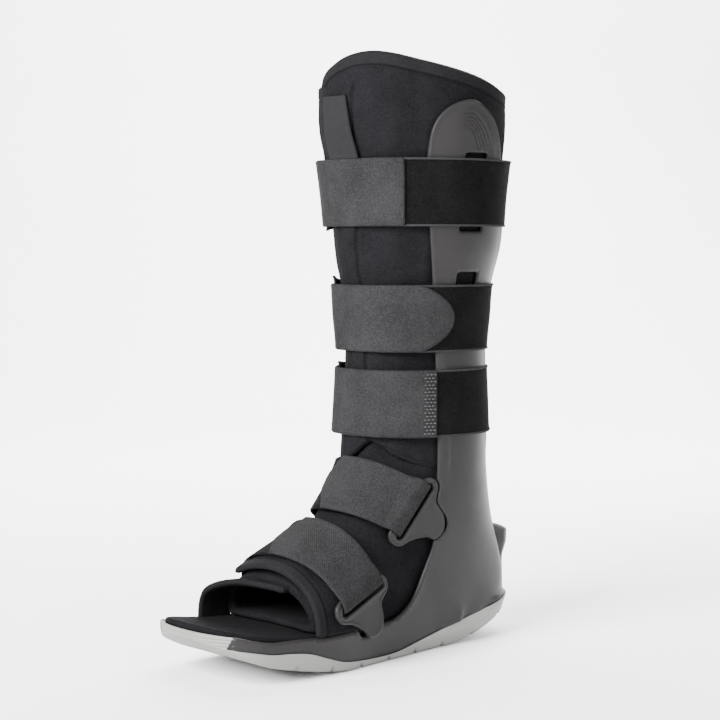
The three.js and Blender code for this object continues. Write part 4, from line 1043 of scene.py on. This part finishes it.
def liner_rings(tilts, around):
    outer, inner = [], []
    for tilt in tilts:
        a = math.radians(tilt)
        down = np.array([0.0, math.sin(a), -math.cos(a)])
        along = PIVOT + down * np.arange(0, 220, 0.5)[:, None]
        held = np.where(liner_inside(LINER_WALL)(along))[0]
        middle = PIVOT + down * (held[0] + held[-1]) / 4
        turn = np.arange(around) * 2 * math.pi / around
        direction = np.cos(turn)[:, None] * [1, 0, 0] + np.sin(turn)[:, None] * down
        start = np.broadcast_to(middle, direction.shape)
        outer.append(start + direction * reach(start, direction, 200, liner_inside(0))[:, None])
        inner.append(start + direction * reach(start, direction, 200, liner_inside(LINER_WALL))[:, None])
    return outer, inner


def build_foot_liner():
    around = 150
    tilts = np.linspace(7, 88, 90)
    outer, inner = liner_rings(tilts, around)
    turn = np.arange(around) * 360 / around
    z = lower_edge(turn) - 3 * SEAT_GAP
    outer.append(shaft_point(turn, z, -FOOT_LINER_GAP))
    inner.append(shaft_point(turn, z, -FOOT_LINER_GAP - LINER_WALL))
    outer, inner = np.array(outer).transpose(1, 0, 2), np.array(inner).transpose(1, 0, 2)
    folds = 0.9 * smooth_noise(outer, 36, 21) + 0.35 * smooth_noise(outer, 15, 22)
    outer = outer + unit(outer - inner) * (folds + 0.6)[..., None]
    verts, faces, uv = sheet_mesh(outer, inner, True)
    piece = outwards(make_piece("foot_wrap", verts, faces, LINER, "liner", uv))
    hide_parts("foot_liner", "ankle_liner")


def cross_point(y, degrees, grow):
    y, degrees = np.broadcast_arrays(np.asarray(y, float), np.asarray(degrees, float))
    a = np.radians(degrees)
    start = np.stack([np.zeros_like(y), y, liner_bottom(y) + SEAT_GAP], -1)
    direction = np.stack([np.cos(a), np.zeros_like(a), np.sin(a)], -1)
    base = start + direction * reach(start, direction, 200, in_body)[..., None]
    return base + body_normal(base) * np.asarray(grow)[..., None]


def build_forefoot_flap():
    sweep = np.linspace(0, 136, 150)
    share = np.linspace(0, 1, 60)
    d, s = np.meshgrid(sweep, share, indexing="ij")
    y = lerp(along_y(0.406), along_y(0.248), s)
    grow = np.full_like(d, SEAT_GAP)
    outer = cross_point(y, d, grow + FLAP_WALL)
    inner = cross_point(y, d, grow)
    from_front = (1 - s) * (along_y(0.406) - along_y(0.248))
    from_end = np.radians(136 - d) * 45
    edge = np.minimum(from_front, from_end)
    tape = 0.9 * (1 - smooth(5.6, 6.6, edge)) - 0.9 * groove(edge - 7.2, 0.8)
    lift = 2.2 * (1 - smooth(0, 14, from_front)) * np.sin(np.radians(np.clip(d, 0, 136) / 136 * 180)) ** 2
    wander = smooth_noise(outer, 30, 31) * 0.5
    normal = unit(outer - inner)
    outer = outer + normal * (tape + lift + wander * smooth(6, 12, edge))[..., None]
    inner = inner + normal * (lift * 0.9)[..., None]
    verts, faces, uv = sheet_mesh(outer, inner, round_share=0.5)
    piece = outwards(make_piece("forefoot_flap_cloth", verts, faces, LINER, "liner", uv))
    bind(piece, (edge < 6.4)[:-1, :-1])
    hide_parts("forefoot_flap")


def build_toe_flap():
    """Bound flap from the far side that arches over the toes, its foot sunk in the footbed."""
    u, w = np.meshgrid(np.linspace(0, 1, 120), np.linspace(0, 1, 40), indexing="ij")
    back, front_y = along_y(0.242), along_y(0.172)
    angle = np.radians(lerp(180.0, 72.0, u))
    arch = np.abs(np.sin(angle)) ** TOE_FLAP_ARCH
    front = lerp(front_y, back - 4, smooth(0.25, 1, u))
    rise = liner_bottom(back) + arch * 28.0
    ring_y = PIVOT[1] + math.tan(math.radians(7)) * (PIVOT[2] - rise) - 0.8
    y = lerp(np.maximum(back, ring_y), front, w)
    half = table_at(SOLE_PLAN, (y - TOE_Y) / FOOT_LENGTH) * BALL_HALF_WIDTH
    half = half - TRAY_INSET - SHELL_WALL - LINER_GAP
    bottom = liner_bottom(y) - 1.4

    def at(size, tall):
        across = np.sign(np.cos(angle)) * np.abs(np.cos(angle)) ** TOE_FLAP_ARCH * size
        return np.stack([across, y, bottom + arch * tall], -1)

    outer, inner = at(half, TOE_FLAP_RISE), at(half - FLAP_WALL, TOE_FLAP_RISE - FLAP_WALL)
    from_front = (1 - w) * np.abs(front - back)
    tape = 0.8 * (1 - smooth(4.6, 5.6, from_front)) - 0.7 * groove(from_front - 6.2, 0.8)
    normal = unit(outer - inner)
    outer = outer + normal * (tape + smooth_noise(outer, 25, 41) * 0.4)[..., None]
    verts, faces, uv = sheet_mesh(outer, inner, round_share=0.5)
    piece = outwards(make_piece("toe_flap_cloth", verts, faces, LINER, "liner", uv))
    bind(piece, (from_front < 5.4)[:-1, :-1])
    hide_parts("toe_flap")


# Straps
SHAFT_STRAPS = [
    dict(name="upper", rise=STRAP_RISES[0], end=-48.5, tip=0.0, slip=-3.0),
    dict(name="middle", rise=STRAP_RISES[1], end=-11.0, tip=24.0, slip=6.0),
    dict(name="lower", rise=STRAP_RISES[2], end=-23.5, tip=0.0, slip=4.0),
]
GREY_START, PILE_START, PILE_END = -160.0, -62.0, 242.0


def band(turn, middle, half, base, thickness):
    """Outer and inner grids of a strap round the shaft."""
    t, c = np.meshgrid(turn, np.linspace(-1, 1, 17), indexing="ij")
    z = middle[:, None] + c * half[:, None]
    wander = 0.25 * smooth_noise(shaft_point(t, z, 0), 44, 51)
    outer = shaft_point(t, z, base[:, None] + thickness + wander)
    inner = shaft_point(t, z, base[:, None] + wander)
    return outer, inner


def strap_piece(name, outer, inner, material, slot, node):
    verts, faces, uv = sheet_mesh(outer, inner, round_share=0.5)
    piece = outwards(make_piece(name, verts, faces, material, slot, uv))
    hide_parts(node)
    return piece


def grey_base(turn):
    before_pile = 1 - smooth(PILE_START - 12, PILE_START, turn)
    over = 1 - smooth(PILE_END - 360, PILE_END - 348, turn) * before_pile
    return SHELL_WALL + STRAP_LIFT + over * (PILE_THICKNESS + STRAP_LIFT)


def build_shaft_straps():
    for strap in SHAFT_STRAPS:
        turn = np.linspace(PILE_START, PILE_END, 300)
        slip = strap["slip"] * smooth(180, PILE_END, turn)
        half = np.full_like(turn, STRAP_WIDTH / 2)
        base = np.full_like(turn, SHELL_WALL + STRAP_LIFT)
        outer, inner = band(turn, strap["rise"] + slip, half, base, PILE_THICKNESS)
        pile = strap_piece("pile_band_" + strap["name"], outer, inner, PILE, "pile",
                           "shaft_pile_" + strap["name"])
        cords = []
        for edge, next_to in ((0, 1), (-1, -2)):
            line = outer[::2, edge]
            cords.append(tube(line + unit(line - outer[::2, next_to]) * 0.1, 0.62, 1.4))
        selvedge = make_piece("selvedge_" + strap["name"], *merge(cords), SELVEDGE, "strap")
        if strap["tip"]:
            before = np.linspace(GREY_START, strap["end"] - strap["tip"], 130, endpoint=False)
            turn = np.concatenate([before, strap["end"] - strap["tip"] * np.linspace(1, 0, 70) ** 2.2])
            from_end = np.clip((strap["end"] - turn) / strap["tip"], 0.0012, 1)
            half = STRAP_WIDTH / 2 * from_end ** 0.45
        else:
            turn = np.linspace(GREY_START, strap["end"], 170)
            half = np.full_like(turn, STRAP_WIDTH / 2)
        middle = np.full_like(turn, strap["rise"])
        outer, inner = band(turn, middle, half, grey_base(turn), STRAP_THICKNESS)
        grey = strap_piece("shin_strap_" + strap["name"], outer, inner, STRAP, "strap",
                           "shaft_strap_" + strap["name"])


def build_checker():
    """Strip of thick light threads at the lower strap's end, in rows of short floats."""
    strap = SHAFT_STRAPS[2]
    parts = []
    rows, cols = 18, 6
    for i in range(cols):
        for j in range(rows):
            if (i + j) % 2:
                continue
            turn = lerp(strap["end"] - 8.6, strap["end"] - 0.6, (i + 0.5) / cols)
            z = strap["rise"] + lerp(-1, 1, (j + 0.5) / rows) * STRAP_WIDTH / 2 * 0.96
            span = np.linspace(-0.62, 0.62, 5)
            base = grey_base(np.array([turn]))[0] + STRAP_THICKNESS
            path = shaft_point(turn + span * 1.1, np.full(5, z), base + 0.25 - 0.3 * np.abs(span) ** 2)
            parts.append(tube(path, 0.7, 0.6))
    make_piece("checker_threads", *merge(parts), CHECKER, "strap")


FOOT_PILE_FROM, FOOT_PILE_TO = 29.0, 212.0
FOOT_GREY_FROM, FOOT_GREY_TO, FOOT_GREY_TIP = 23.0, 116.0, 16.0


def strap_point(strap, offset, degrees, grow):
    """A point over the foot in the plane of a foot strap: offset runs along the slot."""
    offset, degrees, grow = np.broadcast_arrays(*(np.asarray(v, float) for v in (offset, degrees, grow)))
    slope, a = math.radians(strap["slope"]), np.radians(degrees)
    along = np.array([0, -math.cos(slope), -math.sin(slope)])
    up = np.array([0, -math.sin(slope), math.cos(slope)])
    slid = (offset + strap["drift"] * np.sin(a))[..., None]
    middle = np.array([0, along_y(strap["along"]), strap["up"]]) + slid * along
    direction = np.cos(a)[..., None] * np.array([1.0, 0, 0]) + np.sin(a)[..., None] * up
    base = middle + direction * reach(middle, direction, FOOT_LENGTH, in_body)[..., None]
    return base + body_normal(base) * grow[..., None]


def foot_pile_grow(strap, degrees):
    over_flap = strap["layers"] * (FLAP_WALL + SEAT_GAP) * (1 - smooth(156, 170, degrees))
    return STRAP_LIFT + over_flap + SHELL_WALL * smooth(154, 172, degrees)


def bar_row(strap, share, across, height):
    """A row of the strap in its loop's frame, height counted outwards from the plate's middle."""
    flat = np.full(len(share), 1.0)
    row = np.column_stack([share * FOOT_STRAP_WIDTH / 2, flat * across, -flat * height])
    return loop_to_world(strap, row)


def ease_rows(keys, grid, steps=8):
    """Fine rows between sparse key rows, joined to a grid, with the corners rounded."""
    rows = []
    for a, b in zip(keys, keys[1:] + [grid[0]]):
        rows += [lerp(a, b, k / steps) for k in range(steps)]
    joined = np.concatenate([np.array(rows), grid])
    end = steps * len(keys) + 4
    for _ in range(4):
        joined[1:end] = (joined[:end - 1] + 2 * joined[1:end] + joined[2:end + 1]) / 4
    return joined


def build_foot_straps():
    share = np.linspace(-1, 1, 17)
    face, bar = LOOP_THICKNESS / 2 + SEAT_GAP, LOOP_SLOT_WIDTH / 2 - SEAT_GAP
    top = face + STRAP_THICKNESS
    for strap in FOOT_STRAPS:
        name = strap["name"]
        deg, c = np.meshgrid(np.linspace(FOOT_PILE_FROM, FOOT_PILE_TO, 170), share, indexing="ij")
        offset, grow = c * FOOT_STRAP_WIDTH / 2, foot_pile_grow(strap, deg)
        outer = strap_point(strap, offset, deg, grow + PILE_THICKNESS)
        inner = strap_point(strap, offset, deg, grow)
        pile = strap_piece(name + "_pile_band", outer, inner, PILE, "pile", name + "_pile")
        turn = np.linspace(FOOT_GREY_FROM, FOOT_GREY_TO, 140)
        from_end = np.clip((FOOT_GREY_TO - turn) / FOOT_GREY_TIP, 0, 1)
        taper = (0.3 + 0.7 * from_end) * np.clip(from_end * 14, 0.55, 1) ** 0.5
        deg, c = np.meshgrid(turn, share, indexing="ij")
        offset = c * (FOOT_STRAP_WIDTH / 2) * taper[:, None]
        wave = 0.25 * smooth_noise(np.stack([deg, offset, offset * 0], -1), 34, 61)
        grow = foot_pile_grow(strap, deg) + PILE_THICKNESS + STRAP_LIFT - 0.3 + np.maximum(wave, -0.2)
        outer = ease_rows([bar_row(strap, share, bar - STRAP_THICKNESS, -face),
                           bar_row(strap, share, bar - STRAP_THICKNESS, top),
                           bar_row(strap, share, LOOP_SLOT_LENGTH * 0.205, top)],
                          strap_point(strap, offset, deg, grow + STRAP_THICKNESS))
        inner = ease_rows([bar_row(strap, share, bar, -face), bar_row(strap, share, bar, face),
                           bar_row(strap, share, LOOP_SLOT_LENGTH * 0.205, face)],
                          strap_point(strap, offset, deg, grow))
        grey = strap_piece(name + "_hook_strap", outer, inner, STRAP, "strap", name + "_strap")


# Loops: inset from an edge, its largest share of the plate's width there, and height
LOOP_PROFILE = [
    (0.5, 0.1, -1.5), (0.0, 0.0, -0.9), (0.0, 0.0, 0.6), (0.3, 0.06, 1.2), (0.9, 0.18, 1.5),
    (2.0, 0.36, 1.5), (2.7, 0.45, 1.15),
]


def build_loops():
    for strap in FOOT_STRAPS:
        line = catmull(LOOP_OUTLINE, 0.8, True)
        end = (LOOP_SLOT_LENGTH - LOOP_SLOT_WIDTH) / 2
        centre = np.column_stack([np.clip(line[:, 0], -end, end), np.zeros(len(line))])
        slot = centre + unit(line - centre) * LOOP_SLOT_WIDTH / 2
        width = np.linalg.norm(line - slot, axis=1)
        rows = []
        for a, b, profile in ((line, slot, LOOP_PROFILE), (slot, line, LOOP_PROFILE[::-1])):
            for inset, most, height in profile:
                q = lerp(a, b, (np.minimum(inset, width * most) / width)[:, None])
                rows.append(np.column_stack([q, np.full(len(q), -height)]))
        grid = loop_to_world(strap, np.array(rows))
        m, n = grid.shape[:2]
        faces = [(i * n + k, i * n + (k + 1) % n, (i + 1) % m * n + (k + 1) % n, (i + 1) % m * n + k)
                 for i in range(m) for k in range(n)]
        piece = make_piece(strap["name"] + "_slot_loop", grid.reshape(-1, 3), faces, LOOP, "loop", None, 1)
        outwards(piece)
        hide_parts(strap["name"] + "_loop")


def build_label_tab():
    """Blank fabric tab sewn on under the liner's bound edge, its right side folded over."""
    u, v = np.meshgrid(np.linspace(0, 1, 44), np.linspace(0, 1, 60), indexing="ij")
    turn = lerp(-101.6, lerp(-77.0, -82.0, v), u)
    foot = STRAP_RISES[0] + STRAP_WIDTH / 2 + 1
    tall = TAB_TOP - foot
    z = lerp(foot, TAB_TOP, v)
    fold = 0.8 * smooth(0.86, 0.98, u)
    base = SHELL_WALL - LINER_GAP + 1.8 + 0.5 * u + 0.2 * smooth_noise(shaft_point(turn, z, 0), 30, 71)
    hem = -0.25 * groove((v - 0.06) * tall, 0.5) - 0.25 * groove((0.95 - v) * tall, 0.5)
    outer = shaft_point(turn, z, base + TAB_THICKNESS + fold + hem)
    inner = shaft_point(turn, z, base)
    tab = strap_piece("blank_tab", outer, inner, TAB, "tab", "label_tab")


build_shell()
build_outsole()
build_heel_strip()
build_footbed()
build_shaft_liner()
build_foot_liner()
build_forefoot_flap()
build_toe_flap()
build_shaft_straps()
build_checker()
build_foot_straps()
build_loops()
build_label_tab()


# Floor, light and camera
CAMERA_AZIMUTH = math.radians(48)
CAMERA_PITCH = math.radians(3.7)
CAMERA_PLACE = (0.9661, -0.8594, 0.288)
CAMERA_LENS = 92.95
WORLD_STRENGTH = 0.7
# Lamps in metres: name, place, target, size, power
LAMPS = [
    ("key", (0.2, -1.9, 1.3), (0, 0, 0.2), 1.2, 240),
    ("fill", (1.9, 0.1, 0.9), (0, 0, 0.2), 1.4, 30),
    ("rim", (-0.6, 1.6, 1.6), (0, 0, 0.2), 1.4, 50),
    ("backdrop", (-0.67, 0.6, 1.7), (-1.9, 1.7, 0.4), 1.3, 150),
]


def build_stage():
    """A pale floor that sweeps up into a backdrop behind the boot."""
    away = np.array([-math.sin(CAMERA_AZIMUTH), math.cos(CAMERA_AZIMUTH), 0])
    across = np.array([math.cos(CAMERA_AZIMUTH), math.sin(CAMERA_AZIMUTH), 0])
    turn = np.linspace(0, math.pi / 2, 17)
    run = np.concatenate([[-3.0], 1.6 + np.sin(turn), [2.6]])
    rise = np.concatenate([[0.0], 1 - np.cos(turn), [3.5]]) - 0.0002
    verts, faces = [], []
    for i, (out, up) in enumerate(zip(run, rise)):
        verts += [away * out - across * 4 + [0, 0, up], away * out + across * 4 + [0, 0, up]]
        if i:
            faces.append((2 * i - 2, 2 * i - 1, 2 * i + 1, 2 * i))
    mesh = bpy.data.meshes.new("studio_sweep")
    mesh.from_pydata([tuple(v) for v in verts], [], faces)
    mesh.polygons.foreach_set("use_smooth", [True] * len(mesh.polygons))
    mat, tree, shader, places = new_material("studio_paper", 0.9, 0.5)
    tint_by(tree, shader, noise(tree, places["Object"], 3.0), (1, 1, 1), (0.3, 0.94), (0.7, 0.96))
    mesh.materials.append(mat)
    sweep = bpy.data.objects.new("studio_sweep", mesh)
    bpy.context.scene.collection.objects.link(sweep)


def area_light(name, place, target, size, power):
    data = bpy.data.lights.new(name, "AREA")
    data.shape = "SQUARE"
    data.size = size
    data.energy = power
    lamp = bpy.data.objects.new(name, data)
    lamp.location = place
    lamp.rotation_euler = (Vector(target) - Vector(place)).to_track_quat("-Z", "Y").to_euler()
    bpy.context.scene.collection.objects.link(lamp)


def build_light():
    world = bpy.context.scene.world or bpy.data.worlds.new("studio")
    bpy.context.scene.world = world
    world.use_nodes = True
    back = world.node_tree.nodes.get("Background")
    back.inputs["Color"].default_value = (1.0, 1.0, 1.0, 1)
    back.inputs["Strength"].default_value = WORLD_STRENGTH
    for lamp in LAMPS:
        area_light(*lamp)


def build_camera():
    data = bpy.data.cameras.new("camera")
    data.lens = CAMERA_LENS
    data.sensor_width = 36.0
    camera = bpy.data.objects.new("camera", data)
    camera.location = CAMERA_PLACE
    camera.rotation_euler = (math.pi / 2 - CAMERA_PITCH, 0, CAMERA_AZIMUTH)
    bpy.context.scene.collection.objects.link(camera)
    bpy.context.scene.camera = camera


build_stage()
build_light()
build_camera()
